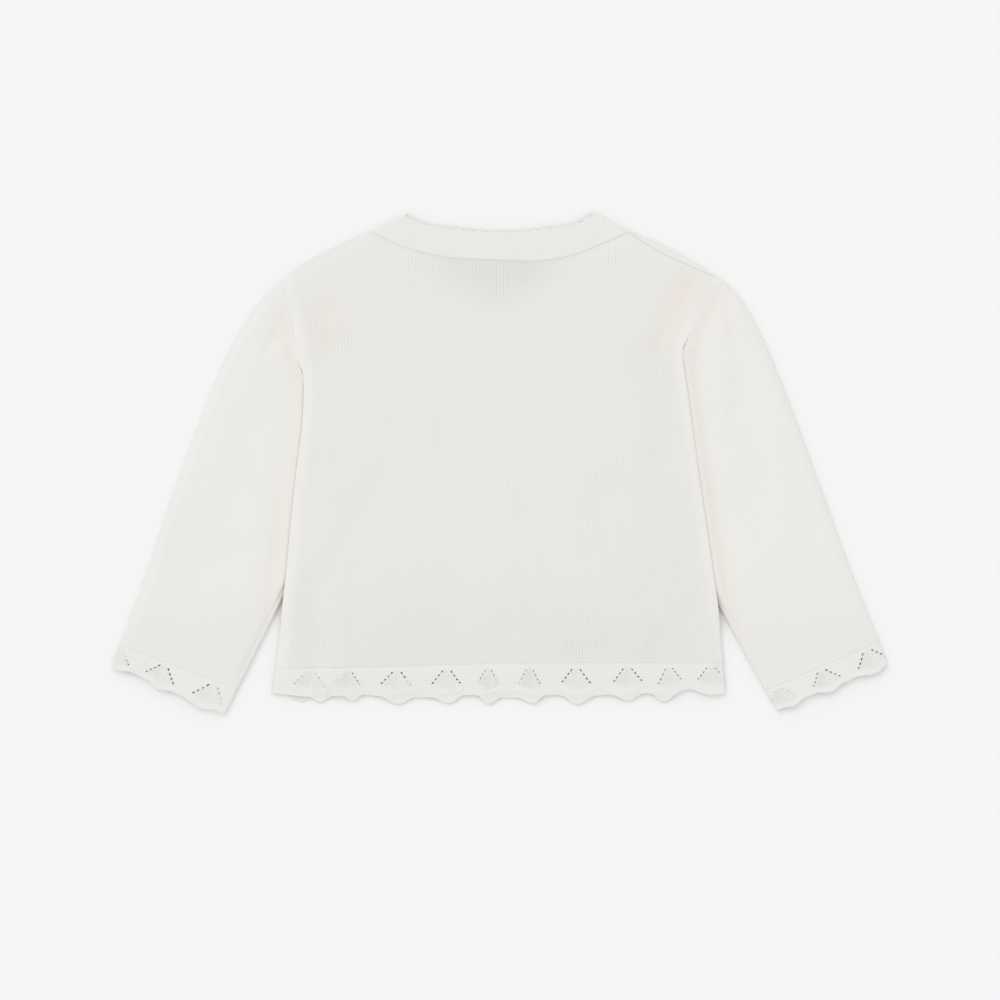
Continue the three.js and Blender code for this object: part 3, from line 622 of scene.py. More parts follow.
def neck_columns(last_share):
    """Shares of the body's width from a side to the centre, close together where the neckline is steep."""
    fold_zone = 8.0
    fold = np.arange(0, fold_zone, 0.5) / BODY_WIDTH
    shoulder = np.linspace(fold_zone / BODY_WIDTH, SHOULDER_SHARE, 32)
    before_corner = SHOULDER_SHARE - np.array([0.0045, 0.003, 0.0015])
    turns = np.linspace(0, 1, 50)[1:]
    evening = 0.8
    neck = SHOULDER_SHARE + (last_share - SHOULDER_SHARE) * (1 - np.cos(turns * math.pi / 2)) ** evening
    return np.concatenate([fold, shoulder[:-1], before_corner, shoulder[-1:], neck])


half = neck_columns(0.5)
across = np.concatenate([half, 1 - half[-2::-1]])[None, :]
down = steps(PANEL_LENGTH, spacing=1.5, fine=0.5, zone=6.0)[:, None]
left_fold = side_fold(left_side, TUCKS["left"], down)
right_fold = side_fold(right_side, TUCKS["right"], down)
x, y, rise, (from_left, from_right, from_top, _) = lay_panel(
    body_plan, across, down, left_fold, right_fold, shoulder_fold(across, -1))
from_side = np.minimum(from_left, from_right)
within = ease(from_side, 0, FULL_FROM_SIDE) * ease(from_top, 0, FULL_FROM_TOP)
sink = neck_sink(x, y)
air = within * body_air(x, y) * (1 - sink / NECK_HOLLOW["depth"] * AIR_PRESSED_OUT)
z = MIDDLE + rise + body_lift(x, y) + air - sink * CLOTH_SINKS
# The stitches' drawing apart carries painted shade: darker where drawn apart and over the neck hollow, and
# lighter along the side folds, a painted highlight
drawn = EVENLY_DRAWN + soft_folds(x, y, BACK_DRAWN_AND_SHADED) + DRAWN_AND_SHADED_AT_NECK * sink / NECK_HOLLOW["depth"]
drawn = drawn - CLOSED_AND_LIGHTER_AT_FOLD * (1 - ease(from_side, *CLOSED_ZONE))
cotton = cotton_knit("combed_cotton_stocking_stitch", YARN_COLOUR, HOLLOW_SHADE_COLOUR, STITCH_DEPTH)
# The dents are painted a warm, darker shade
back = knitted_wall("back_panel", np.stack([x, y, z], axis=-1), grid_faces(*x.shape), body_stitches(x, y),
                    drawn=drawn, warm_shade=soft_folds(x, y, BACK_DENT_SHADES))
back.data.materials.append(cotton)
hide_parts("back")

# ---- Fronts ----
# Two panels of the same stocking stitch, one to each side of the centre opening, under the back with their
# faces to the table. Each is folded from the back at its shoulder and side. The right one is carried over
# its shoulder, so that the seam lies on the back.

# The gap between the two front edges at the centre, and how far the front neckline drops
FRONT_EDGE_GAP = 3.0
FRONT_NECK_DROP = 56.0
FRONT_SHARE = 0.5 - FRONT_EDGE_GAP / 2 / BODY_WIDTH


def front_neck_depth(share):
    """How far down the body the front neck seam lies, at a share of the body's width."""
    from_side = np.minimum(share, 1 - share)
    towards_centre = np.clip((from_side - SHOULDER_SHARE) / (FRONT_SHARE - SHOULDER_SHARE), 0, 1)
    corner = body_top(np.where(share < 0.5, SHOULDER_SHARE, 1 - SHOULDER_SHARE))[..., 1]
    drop = np.sqrt(1 - (1 - towards_centre) ** 2) * FRONT_NECK_DROP
    top = body_top(share)[..., 1]
    return np.where(from_side <= SHOULDER_SHARE, 0, (top - corner + drop) / (top - hem_line(share)[..., 1]))


def front_place(share, down):
    """A place on a front, at a share of the body's width and of the way down from its own top."""
    depth = front_neck_depth(share)
    return body_plan(share, depth + (1 - depth) * down)


columns = neck_columns(FRONT_SHARE)
down = steps(PANEL_LENGTH, spacing=2.6, fine=0.6, zone=7.0)[:, None]
for side, edges in (("left", [left_side, None]), ("right", [None, right_side])):
    first = 0 if side == "left" else 1 - FRONT_SHARE
    share = (columns if side == "left" else 1 - columns[::-1])[None, :]
    folds = [side_fold(edge, TUCKS[side], down) if edge else (0, 0) for edge in edges]
    x, y, rise, _ = lay_panel(lambda u, v: front_place(first + FRONT_SHARE * u, v),
                              (share - first) / FRONT_SHARE, down, *folds, shoulder_fold(share, 1))
    on_back = np.clip(-rise / FOLD_RADIUS, 0, 1)
    top = body_top(share)[..., 1]
    from_top = np.abs(top - y)
    z = MIDDLE - rise + body_lift(x, y) + on_back * ease(from_top, 0, FULL_FROM_TOP) * body_air(x, y)
    course_height = np.where(on_back > 0, 2 * top - y, y)
    front = knitted_wall(f"front_{side}_panel", np.stack([x, y, z], axis=-1), grid_faces(*x.shape)[..., ::-1],
                         body_stitches(x, course_height))
    front.data.materials.append(cotton)
    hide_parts(f"front_{side}")

# ---- Sleeves ----
# Two tubes of the same stocking stitch, each knitted flat, seamed under the arm and sewn into its armhole.
# They lie flat beside the body, with the underarm tucked in under it, so they are lowest along its sides and
# fuller towards their outer folds.

OUTER_EDGES = {
    "left": [(-130.5, 109.3), (-140.8, 99.8), (-153.0, 83.0), (-164.8, 60.8), (-178.0, 29.0),
             (-197.3, -23.5), (-212.6, -68.0), (-227.4, -108.4)],
    "right": [(133.5, 109.8), (142.6, 100.8), (151.5, 86.4), (162.6, 62.6), (175.9, 28.8),
              (193.6, -19.2), (211.3, -67.2), (226.9, -106.0)],
}
INNER_EDGES = {
    "left": [(-93.0, 3.0), (-111.5, -41.5), (-129.6, -79.5), (-157.4, -135.0)],
    "right": [(89.0, 2.0), (108.0, -43.0), (130.4, -84.0), (158.8, -135.6)],
}

# The share of a sleeve's head that shows, the width and length by which its grid is spaced, how far apart its
# wales are, and its flat cloth in square metres
HEAD_VISIBLE_SHARE = 0.48
SLEEVE_WIDTH = 82.0
SLEEVE_LENGTH = 244.0
SLEEVE_WALE = 1.9

# The air in a sleeve, the share of it left at the cuff and how far up that tells, and its deepest hollow. It
# is full this far in from the folds, from the body's edge and from the armhole
SLEEVE_LOFT = 2.2
LOFT_AT_CUFF = 0.3
LOFT_TAPER = 26.0
SLEEVE_DEEPEST = -0.7
FULL_FROM_FOLD = 7.0
FULL_FROM_BODY = 20.0
FULL_FROM_HEAD = 6.0

# Above the tuck's top the sleeve rises with the body. This comes in between two heights from there, and
# runs out over a distance from the body's edge
WITH_BODY_HEIGHTS = (-5.0, 3.0)
WITH_BODY_REACH = 18.0

# Below it the cloth is held up beside the body's fold, by a share of the height that would bring it level
# with the fold's middle. This comes in between two distances out from the body's edge, has eased down at the
# third, and comes in between the last two in from the sleeve's own fold
HELD_SHARE = {"left": 1.2, "right": 1.5}
HELD_FROM = (-0.8, 0.5)
HELD_REACH = 9.0
HELD_FROM_FOLD = (1.0, 5.0)

# Where that cloth lies shut in beside the body it is painted a warm, darker shade: how much, its width near
# the armhole and near the hem, between which levels it widens, and the shares of the width over which it
# fades. The left one runs out between two levels
SHUT_IN_SHADE = 0.55
SHUT_IN_WIDTHS = (8.0, 13.0)
SHUT_IN_LEVELS = (20.0, -70.0)
SHUT_IN_FADE = (0.35, 1.2)
LEFT_SHUT_IN_ENDS = (58.0, 72.0)

# The stitches lie closed, and are drawn apart again towards the cuff, between two levels
SLEEVE_DRAWN = -0.3
DRAWN_TO_CUFF = 0.4
DRAWN_LEVELS = (-60.0, -110.0)

# The left sleeve's underarm seam shows as a groove beside its inner fold. The right one lies in the fold
UNDERARM_GROOVE = {"left": 0.3, "right": 0.0}
GROOVE_FROM_FOLD = 2.6
GROOVE_WIDTH = 0.7

# Dents beside the armhole, painted a warm shade, and soft folds, as on the back
SLEEVE_DENT_SHADES = {
    "left": [
        (-129.5, 93, -136, 76, 3.0, 0.6),
        (-128, 81, -127, 66, 3.5, 0.6),
        (-127, 66, -121, 56, 3.5, 0.6),
    ],
    "right": [
        (134, 92, 137, 80, 2.6, 0.5),
    ],
}
SLEEVE_FOLDS = {
    "left": [
        (-128, 93, -139, 68, 3.6, -1.3),
        (-126, 81, -126.6, 63, 3.2, -1.0),
        (-126.6, 63, -120, 54, 3.2, -0.8),
        (-133, 84, -131, 66, 3.6, 0.6),
        (-160, 40, -172, 6, 12.0, 0.5),
        (-150, 20, -160, -30, 9.0, -0.6),
        (-140, -44, -152, -84, 10.0, 0.6),
        (-176, -50, -186, -92, 11.0, -0.6),
    ],
    "right": [
        (134, 93, 138, 76, 4.0, -1.2),
        (142, 72, 142, 31, 5.0, -0.9),
        (134, 60, 132, 20, 6.0, 0.8),
        (160, 20, 172, -24, 11.0, 0.5),
        (150, -10, 158, -50, 9.0, -0.5),
        (146, -60, 160, -100, 9.0, 0.6),
        (184, -60, 196, -96, 11.0, -0.5),
    ],
}


def straight_line(start, end):
    start, end = np.array(start, float), np.array(end, float)
    return lambda share: start + (end - start) * np.asarray(share, float)[..., None]


def lay_tube(plan, around, down):
    """Lays out a flattened tube.

    around runs from 0 at its outer fold over the upper layer to 1 at the inner fold, and back under the lower
    one to 2. Gives x, y, how far above its middle it lies, and how far in it lies from its outer fold, its
    inner fold, its top and its end.
    """
    upper = around <= 1
    across = np.where(upper, around, 2 - around)
    width = np.linalg.norm(plan(1, down) - plan(0, down), axis=-1)
    length = np.linalg.norm(plan(across, 1) - plan(across, 0), axis=-1)
    across, rise = lay(across, width, (1, 0), (1, 0))
    down, _ = lay(down, length, (0, 0), (0, 0))
    across, down = np.broadcast_arrays(across, down)
    place = plan(across, down)
    inset = (across * width, (1 - across) * width, down * length, (1 - down) * length)
    return place[..., 0], place[..., 1], np.where(upper, rise, -rise), inset


upper_shares = steps(SLEEVE_WIDTH, spacing=0.65, fine=0.4, zone=3.0)
lower_shares = steps(SLEEVE_WIDTH, spacing=2.2, fine=0.5, zone=4.0)
around = np.concatenate([upper_shares, 2 - lower_shares[-2:0:-1]])[None, :]
down = steps(SLEEVE_LENGTH, spacing=1.9, fine=0.6, zone=3.0)[:, None]
down_the_side = np.linspace(0, 1, 400)
sleeve_ends = {}
for side, (start, armpit, _) in TUCKS.items():
    body_side = left_side if side == "left" else right_side
    outward = -1 if side == "left" else 1
    samples = body_side(down_the_side)
    tuck_share = np.interp(-start[1], -samples[:, 1], down_the_side)
    head = joined_line(lambda share: body_side(share * tuck_share), straight_line(start, armpit),
                       HEAD_VISIBLE_SHARE)
    end = straight_line(OUTER_EDGES[side][-1], INNER_EDGES[side][-1])
    sleeve_ends[side] = end
    plan = four_sided(head, end, smooth_line(OUTER_EDGES[side]), smooth_line(INNER_EDGES[side]))
    x, y, rise, (from_outer, from_inner, from_head, from_end) = lay_tube(plan, around, down)
    beside_body = outward * (x - np.interp(-y, -samples[:, 1], samples[:, 0]))

    loft = SLEEVE_LOFT * (LOFT_AT_CUFF + (1 - LOFT_AT_CUFF) * ease(from_end, 0, LOFT_TAPER))
    air = np.maximum(loft + soft_folds(x, y, SLEEVE_FOLDS[side]), SLEEVE_DEEPEST)
    within = ease(np.minimum(from_outer, from_inner), 0, FULL_FROM_FOLD)
    within = within * ease(beside_body, 0, FULL_FROM_BODY) * ease(from_head, 0, FULL_FROM_HEAD)
    with_body = ease(y - start[1], *WITH_BODY_HEIGHTS) * (1 - ease(beside_body, 0, WITH_BODY_REACH))
    held = np.maximum(body_lift(x, y) - FOLD_RADIUS - KNIT / 2, 0) * (1 - with_body)
    held = held * ease(from_inner, *HELD_FROM_FOLD) * HELD_SHARE[side]
    held = held * ease(beside_body, *HELD_FROM) * (1 - ease(beside_body, HELD_FROM[1], HELD_REACH))
    z = MIDDLE + rise + with_body * body_lift(x, y) + np.where(rise > 0, within * air + held, 0)

    # The painted warm shade beside the body's edge, and in the dents
    widening = ease(-y, -SHUT_IN_LEVELS[0], -SHUT_IN_LEVELS[1])
    shut_in_shade_width = SHUT_IN_WIDTHS[0] + (SHUT_IN_WIDTHS[1] - SHUT_IN_WIDTHS[0]) * widening
    shut_in_shade = SHUT_IN_SHADE * (1 - ease(beside_body, *(share * shut_in_shade_width for share in SHUT_IN_FADE)))
    if side == "left":
        shut_in_shade = shut_in_shade * (1 - ease(y, *LEFT_SHUT_IN_ENDS))
    warm_shade = np.where(rise > 0, np.maximum(shut_in_shade, soft_folds(x, y, SLEEVE_DENT_SHADES[side])), 0)
    groove = -UNDERARM_GROOVE[side] * np.exp(-((from_inner - GROOVE_FROM_FOLD) / GROOVE_WIDTH) ** 2)
    drawn = DRAWN_TO_CUFF * ease(-y, -DRAWN_LEVELS[0], -DRAWN_LEVELS[1]) + SLEEVE_DRAWN
    wale = np.where(around <= 1, from_outer, -from_outer) / SLEEVE_WALE
    stitches = np.stack([wale, (from_end + 0 * x) / COURSE], axis=-1)
    faces = grid_faces(*x.shape, ring=True)
    if side == "right":
        faces = faces[..., ::-1]
    sleeve = knitted_wall(f"sleeve_{side}_tube", np.stack([x, y, z], axis=-1), faces, stitches,
                          relief=np.where(rise > 0, groove, 0), drawn=drawn, warm_shade=warm_shade, ring=True)
    sleeve.data.materials.append(cotton)
    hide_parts(f"sleeve_{side}")

# ---- Neckband ----
# One strip of the same cotton, knitted double and turned at its neck edge into small picot points, then
# linked to the neckline all round. It folds over at both neck points and runs down under the back to the
# two front edges.

BACK_NECK_EDGE = [(-57.0, 149.0), (-45.5, 144.0), (-31.0, 141.3), (-16.0, 139.4), (-2.0, 138.6),
                  (16.0, 139.2), (32.0, 141.3), (46.0, 143.7), (51.5, 146.4), (56.5, 150.4)]

# How far the band's edge drops at the front, and the lengths by which its stretches' grids are spaced
FRONT_EDGE_DROP = 52.0
FRONT_STRETCH = 85.0
BACK_STRETCH = 140.0

# The band's thickness, the height of its folds' middle, and how far apart its wales are
BAND_WALL = 1.4
BAND_MIDDLE = BAND_WALL / 2 + FOLD_RADIUS
BAND_WALE = 1.9

# The picots: how far apart and how high they are, the share of that which lies inside the edge's line, how
# blunt they are, and the share of the band's depth that they take up. Left of two places on the back they
# are pressed down to a share of their height
PICOT_SPACING = 6.5
PICOT_HEIGHT = 1.4
PICOT_INSIDE = 0.3
PICOT_BLUNTNESS = 0.8
PICOT_ZONE = 0.2
FLAT_PICOTS = 0.15
FLAT_PICOTS_END = (-36.0, -26.0)

# The band's relief, placed by shares of its depth: it is padded by its two layers, dips between the picots
# where it turns, and rises where it is linked on
BAND_PADDING = 0.3
BAND_PADDING_BLUNTNESS = 0.7
TURN_DIP = {"at": 0.13, "width": 0.05, "depth": 0.35}
LINK_RIDGE = {"at": 0.93, "width": 0.045, "height": 0.22}
BAND_DRAWN = -0.4

# The double knit is denser than the single: its strands stand less proud and the painted shade in its
# hollows is paler
BAND_COLOUR = "#e8e6e2"
BAND_HOLLOW_SHADE_COLOUR = "#d9d6d1"
BAND_STITCH_DEPTH = 0.05


def front_band(is_left):
    """A front stretch of the band, from the fold at the neck point to the centre, from edge to seam."""
    neck_point = BACK_NECK_EDGE[0] if is_left else BACK_NECK_EDGE[-1]

    def seam(turn):
        towards_centre = 1 - np.cos(np.asarray(turn) * math.pi / 2)
        share = SHOULDER_SHARE + (FRONT_SHARE - SHOULDER_SHARE) * towards_centre
        return front_place(share if is_left else 1 - share, np.zeros(()))

    def edge(turn):
        angle = np.asarray(turn, float) * math.pi / 2
        x = neck_point[0] + (seam(1.0)[..., 0] - neck_point[0]) * (1 - np.cos(angle))
        return np.stack([x, neck_point[1] - FRONT_EDGE_DROP * np.sin(angle)], axis=-1)
    return four_sided(edge, seam, straight_line(edge(0.0), seam(0.0)), straight_line(edge(1.0), seam(1.0)))


def neck_seam(share):
    return body_top(SHOULDER_SHARE + (1 - 2 * SHOULDER_SHARE) * np.asarray(share, float))


neck_edge = smooth_line(BACK_NECK_EDGE)
back_band = four_sided(neck_edge, neck_seam, straight_line(neck_edge(0), neck_seam(0)),
                       straight_line(neck_edge(1), neck_seam(1)))
down = np.linspace(0, 1, 15)[:, None]
layout = (
    (front_band(True), -1, FRONT_STRETCH),
    (back_band, 1, BACK_STRETCH),
    (front_band(False), -1, FRONT_STRETCH),
)
stretches = []
for plan, layer, length in layout:
    share = steps(length, spacing=1.1, fine=0.5, zone=4.0)[None, :]
    across, rise = lay(share, length, (1, 0), (1, 0) if layer > 0 else (0, 0))
    width = np.linalg.norm(plan(across, 1) - plan(across, 0), axis=-1)
    place = plan(across, down * (1 - SEAM / width))
    lift = BAND_MIDDLE + layer * rise - (layer > 0) * CLOTH_SINKS * neck_sink(place[..., 0], place[..., 1])
    stretches.append(np.concatenate([place, np.broadcast_to(lift, place.shape[:2])[..., None]], axis=-1))
left_front, across_back, right_front = stretches
band = np.concatenate([left_front[:, :0:-1], across_back, right_front[:, 1:]], axis=1)
along = np.append(0, np.cumsum(np.linalg.norm(np.diff(band[0], axis=0), axis=-1)))
depth = np.linalg.norm(band[-1] - band[0], axis=-1)
picot = np.abs(np.sin(math.pi * along / PICOT_SPACING)) ** PICOT_BLUNTNESS
pressed = FLAT_PICOTS + (1 - FLAT_PICOTS) * ease(band[0, :, 0], *FLAT_PICOTS_END)
picot = np.where(band[0, :, 2] > BAND_MIDDLE, picot * pressed, picot)
outward = unit(band[0] - band[-1]) * [1, 1, 0]
reaching = (PICOT_HEIGHT * (picot - PICOT_INSIDE))[None, :, None] * outward[None]
band = band + (1 - ease(down, 0, PICOT_ZONE))[..., None] * reaching
padding = BAND_PADDING * np.sin(math.pi * down) ** BAND_PADDING_BLUNTNESS
dip = TURN_DIP["depth"] * np.exp(-((down - TURN_DIP["at"]) / TURN_DIP["width"]) ** 2) * (1 - picot)
ridge = LINK_RIDGE["height"] * np.exp(-((down - LINK_RIDGE["at"]) / LINK_RIDGE["width"]) ** 2)
relief = (padding - dip + ridge) * (band[..., 2] > BAND_MIDDLE)
stitches = np.stack(np.broadcast_arrays(along / BAND_WALE, down * depth / COURSE), axis=-1)
neckband = knitted_wall("neckband_strip", band, grid_faces(*band.shape[:2]), stitches, BAND_WALL, relief,
                        drawn=np.full(band.shape[:2], BAND_DRAWN))
neckband.data.materials.append(cotton_knit("combed_cotton_double_knit", BAND_COLOUR, BAND_HOLLOW_SHADE_COLOUR,
                                           BAND_STITCH_DEPTH))
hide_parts("neckband")

# ---- Lace border of the back ----
# A border of fan lace in the same yarn, knitted on to the hem. Each fan has a line of four eyelets down each
# of its sides, its ribs lean in to a spine, and ridges of purl fill the ground between two fans. The fans
# drop below the ground, so the cast-off edge runs in scallops.

# The chart: grid points to a wale and to a course, and each fan's repeat and half its own width, in wales
POINTS_PER_WALE = 4
POINTS_PER_COURSE = 3
FAN_WALES = 16
FAN_HALF_WALES = 5.5

# The lace's wales are this far apart and it is this thick. Its strands stand a little less proud
HEM_WALE = 1.75
LACE = 0.9
LACE_STITCH_DEPTH = 0.1

# An eyelet opens in a block of the chart that reaches this many points to each side, and up and down. Its
# size and lean are shares of that block, and so is how far off the stitches are still drawn to its oval
EYELET_POINTS = (1.5, 2)
EYELET_WIDTH = 0.85
EYELET_HEIGHT = 1.1
EYELET_LEAN = 0.45
EYELET_REACH = 2.2

# The first eyelet's distance from the spine, and how much farther out each one below it lies, in points
FIRST_EYELET = 6.5
EYELET_STEP = 4

# A fan's side lies this many wales outside its line of eyelets. Its ribs run on for some courses past the
# last eyelet, and then sink by a share of their height over some more
SIDE_OUTSIDE_EYELETS = 1.6
RIBS_RUN_ON = 0.6
RIBS_SINK = 0.75
RIBS_SINK_COURSES = 2.5

# The heights of the ribs, the purl ridges and the cast-off edge, where that edge lies and how wide it is, and
# between which courses up from it the ridges come in
RIB_HEIGHT = 0.2
RIDGE_HEIGHT = 0.11
CAST_OFF_HEIGHT = 0.2
CAST_OFF_COURSE = 0.6
CAST_OFF_WIDTH = 0.7
RIDGES_BEGIN = (1.5, 5.0)

# How far the stitches are drawn apart between two ribs, which paints the hollows there darker, a painted
# shade, and how far they are closed elsewhere
DRAWN_AND_SHADED_BETWEEN_RIBS = 0.8
LACE_CLOSED = 0.15

# The fans swell from the hem seam and the edge drops, each over this distance. The air under the border
# thins by a share, between two distances down from the hem seam
FAN_SWELL = 0.4
EDGE_DROP = 0.6
LACE_EASE = 8.0
AIR_LOST_AT_EDGE = 0.8
AIR_LOST_OVER = (2.0, 16.0)

# Past the edges of the fronts' borders the back's scallops hang this much lower, between these distances
FREE_DROP = 1.4
FREE_DROP_OVER = (-1.0, 3.5)

# Each fan of the back hem: its x, its width as a share of the knitted one, and how open its eyelets are down
# each side
BACK_FANS = [
    (-113.6, 1.1, (0.5, 0.65, 0.7, 0.75), (0.6, 0.65, 0.5, 0.55)),
    (-91.0, 0.9, (0, 0, 0.3, 0.35), (0.9, 0.85, 0.9, 0.7)),
    (-62.0, 1.05, (0.95, 0.9, 0.95, 1.05), (0.95, 1.0, 0.5, 0.6)),
    (-32.0, 1.0, (0.95, 0.95, 0.95, 1.05), (0.95, 0.9, 1.0, 1.0)),
    (-7.0, 0.72, (0.8, 0.85, 0.9, 0.5), (0.85, 0.9, 0.6, 0.45)),
    (17.8, 0.75, (0.75, 0.85, 0.85, 0.6), (0.8, 0.85, 0.9, 0.85)),
    (45.6, 1.0, (0.9, 0.95, 1.0, 1.0), (0.95, 0.95, 1.0, 1.0)),
    (76.4, 1.0, (0.95, 0.9, 0.95, 0.95), (0.85, 0.95, 1.0, 1.0)),
    (101.3, 0.8, (0.85, 0.9, 0.9, 0.75), (0.85, 0.9, 0.95, 0.9)),
    (126.6, 1.0, (0.8, 0.85, 0.9, 0.85), (0.8, 0.75, 0, 0)),
]

# The border's two ends at the height of its eyelets
BACK_EYELET_ENDS = (-135.6, 134.3)

# The scalloped edge, x and y: the low point of each fan, and both ends of the rise beyond it
BACK_EDGE = [
    (-137.2, -137.4), (-115.0, -139.4),
    (-108.0, -142.6), (-99.5, -138.9), (-94.5, -138.9),
    (-88.3, -142.0), (-82.0, -138.2), (-72.5, -139.0),
    (-61.5, -143.8), (-51.0, -140.2), (-42.0, -139.7),
    (-30.5, -143.3), (-21.0, -138.4), (-14.5, -138.5),
    (-6.2, -143.7), (0.5, -140.1), (10.5, -140.2),
    (20.0, -143.6), (27.0, -138.5), (35.5, -138.5),
    (46.5, -143.9), (57.5, -138.8), (66.5, -138.3),
    (76.5, -141.8), (87.0, -137.3), (90.0, -137.5),
    (97.8, -142.4), (110.0, -135.6), (113.0, -134.9),
    (126.0, -138.3), (135.4, -137.6),
]

# The fronts' borders end a little higher, except near the left side: distance in from the side, and y
FRONT_EDGES = {
    "left": [
        (0, -137.2), (5, -137.6), (18, -142.2), (28, -137.0), (45, -138.5), (58, -136.2),
        (71, -138.6), (84, -136.2), (97, -138.6), (110, -136.0), (122, -137.8), (140, -135.8),
    ],
    "right": [
        (0, -137.4), (8, -138.2), (20, -134.6), (36, -138.4), (49, -135.8), (62, -138.6),
        (75, -136.0), (88, -138.8), (101, -136.0), (114, -138.8), (126, -136.0), (140, -137.0),
    ],
}
HEM_COURSES = 18
HEM_EYELET_ROWS = (10, 16, 23, 30)


def scalloped(turns, place):
    """The level of a scalloped edge, easing from each turning point to the next."""
    places, levels = (np.array(values) for values in zip(*turns))
    after = np.clip(np.searchsorted(places, place), 1, len(places) - 1)
    share = np.clip((place - places[after - 1]) / (places[after] - places[after - 1]), 0, 1)
    return levels[after - 1] + (levels[after] - levels[after - 1]) * (1 - np.cos(share * math.pi)) / 2


def fan_lace(first_wale, last_wale, courses, fans, eyelet_rows, ring=False):
    """A chart of fan lace, as the points of its grid.

    fans holds the wale of each fan's spine, and how open its eyelets are down each side. Gives the wale and
    course of each point, with the points near an eyelet drawn to its oval, the faces, the relief, how far the
    stitches are drawn apart, which also paints shade between the ribs, and how far each point lies within a
    fan. Each eyelet leans with its fan's side.
    """
    columns = round((last_wale - first_wale) * POINTS_PER_WALE) + (not ring)
    rows = courses * POINTS_PER_COURSE + 1
    column, row = np.meshgrid(np.arange(columns, dtype=float), np.arange(rows, dtype=float))
    wale, course = first_wale + column / POINTS_PER_WALE, row / POINTS_PER_COURSE
    faces = grid_faces(rows, columns, ring)
    closed = np.ones(faces.shape[:2], bool)
    moved = np.zeros((2,) + column.shape)
    from_spine = np.full(column.shape, np.inf)
    half_columns, half_rows = EYELET_POINTS
    for spine, *sides in fans:
        spine_column = (spine - first_wale) * POINTS_PER_WALE
        away = column - spine_column
        if ring:
            away = (away + columns / 2) % columns - columns / 2
        from_spine = np.where(np.abs(away) < np.abs(from_spine), away, from_spine)
        for direction, openings in zip((-1, 1), sides):
            for number, (centre_row, opening) in enumerate(zip(eyelet_rows, openings)):
                if not opening:
                    continue
                centre = direction * (FIRST_EYELET + EYELET_STEP * number)
                a, b = (away - centre) / half_columns, (row - centre_row) / half_rows
                square, circle = np.maximum(np.abs(a), np.abs(b)), np.hypot(a, b).clip(1e-6)
                near = (1 - ease(square, 1, EYELET_REACH)) * (square < EYELET_REACH)
                wide, high = (size * opening * square / circle for size in (EYELET_WIDTH, EYELET_HEIGHT))
                aside = (wide - 1) * a * half_columns + direction * EYELET_LEAN * b * half_rows
                moved += near * np.array([aside, (high - 1) * b * half_rows])
                first = round(spine_column + centre - half_columns)
                hole = np.arange(first, first + round(2 * half_columns))
                hole = hole % columns if ring else hole[(hole >= 0) & (hole < closed.shape[1])]
                closed[centre_row - half_rows:centre_row + half_rows, hole] = False

    from_spine = np.abs(from_spine) / POINTS_PER_WALE
    first_course = eyelet_rows[0] / POINTS_PER_COURSE
    last_course = eyelet_rows[-1] / POINTS_PER_COURSE + RIBS_RUN_ON
    lean = (eyelet_rows[-1] - eyelet_rows[0]) / POINTS_PER_COURSE / (len(eyelet_rows) - 1)
    side_line = SIDE_OUTSIDE_EYELETS + (np.minimum(course, last_course + 2) - first_course) / lean
    begun = ease(course, first_course - 2, first_course - 0.6)
    in_fan = ease(side_line - from_spine, -0.5, 0.5) * begun
    ribs = np.cos(2 * math.pi * (from_spine - np.minimum(course, last_course) / lean))
    ribs = ribs * (1 - RIBS_SINK * ease(course, last_course, last_course + RIBS_SINK_COURSES))
    ridges = np.cos(math.pi * course) * ease(courses - course, *RIDGES_BEGIN)
    cast_off = np.exp(-((courses - CAST_OFF_COURSE - course) / CAST_OFF_WIDTH) ** 2)
    relief = RIB_HEIGHT * ribs * in_fan + RIDGE_HEIGHT * ridges * (1 - in_fan) + CAST_OFF_HEIGHT * cast_off
    return {
        "wale": wale + moved[0] / POINTS_PER_WALE,
        "course": course + moved[1] / POINTS_PER_COURSE,
        "faces": faces[closed],
        "relief": relief,
        "drawn": DRAWN_AND_SHADED_BETWEEN_RIBS * np.maximum(-ribs, 0) ** 2 * in_fan - LACE_CLOSED,
        "in_fan": in_fan,
    }


def lace_piece(name, middle, chart, node, turned_over=False):
    """Builds a lace border from its laid-out middle and its chart, and puts it in place of its solid."""
    faces = chart["faces"][:, ::-1] if turned_over else chart["faces"]
    stitches = np.stack([chart["wale"], chart["course"]], axis=-1)
    piece = knitted_wall(name, middle, faces, stitches, LACE, chart["relief"], purl=1 - chart["in_fan"],
                         drawn=chart["drawn"], ring=node.startswith("cuff"))
    piece.data.materials.append(lace_cotton)
    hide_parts(node)
    return piece


def fan_places(xs, widths, first, last):
    """Where each wale lies: each fan keeps its own width, and the ground between takes up the rest.

    Gives the first and the last wale, and the wales and places between which the others lie evenly.
    """
    wales, places = [], []
    for number, (x, width) in enumerate(zip(xs, widths)):
        for step in (-FAN_HALF_WALES, 0, FAN_HALF_WALES):
            place = x + step * HEM_WALE * width
            if first < place < last:
                wales.append(number * FAN_WALES + step)
                places.append(place)
    first_wale = round((first - places[0]) / HEM_WALE * POINTS_PER_WALE) / POINTS_PER_WALE + wales[0]
    last_wale = round((last - places[-1]) / HEM_WALE * POINTS_PER_WALE) / POINTS_PER_WALE + wales[-1]
    return first_wale, last_wale, [first_wale, *wales, last_wale], [first, *places, last]


lace_cotton = cotton_knit("combed_cotton_fan_lace", YARN_COLOUR, HOLLOW_SHADE_COLOUR, LACE_STITCH_DEPTH)
fan_x, fan_widths, left_eyelets, right_eyelets = zip(*BACK_FANS)
first_wale, last_wale, wales, places = fan_places(fan_x, fan_widths, *BACK_EYELET_ENDS)
fans = [(number * FAN_WALES, *sides) for number, sides in enumerate(zip(left_eyelets, right_eyelets))]


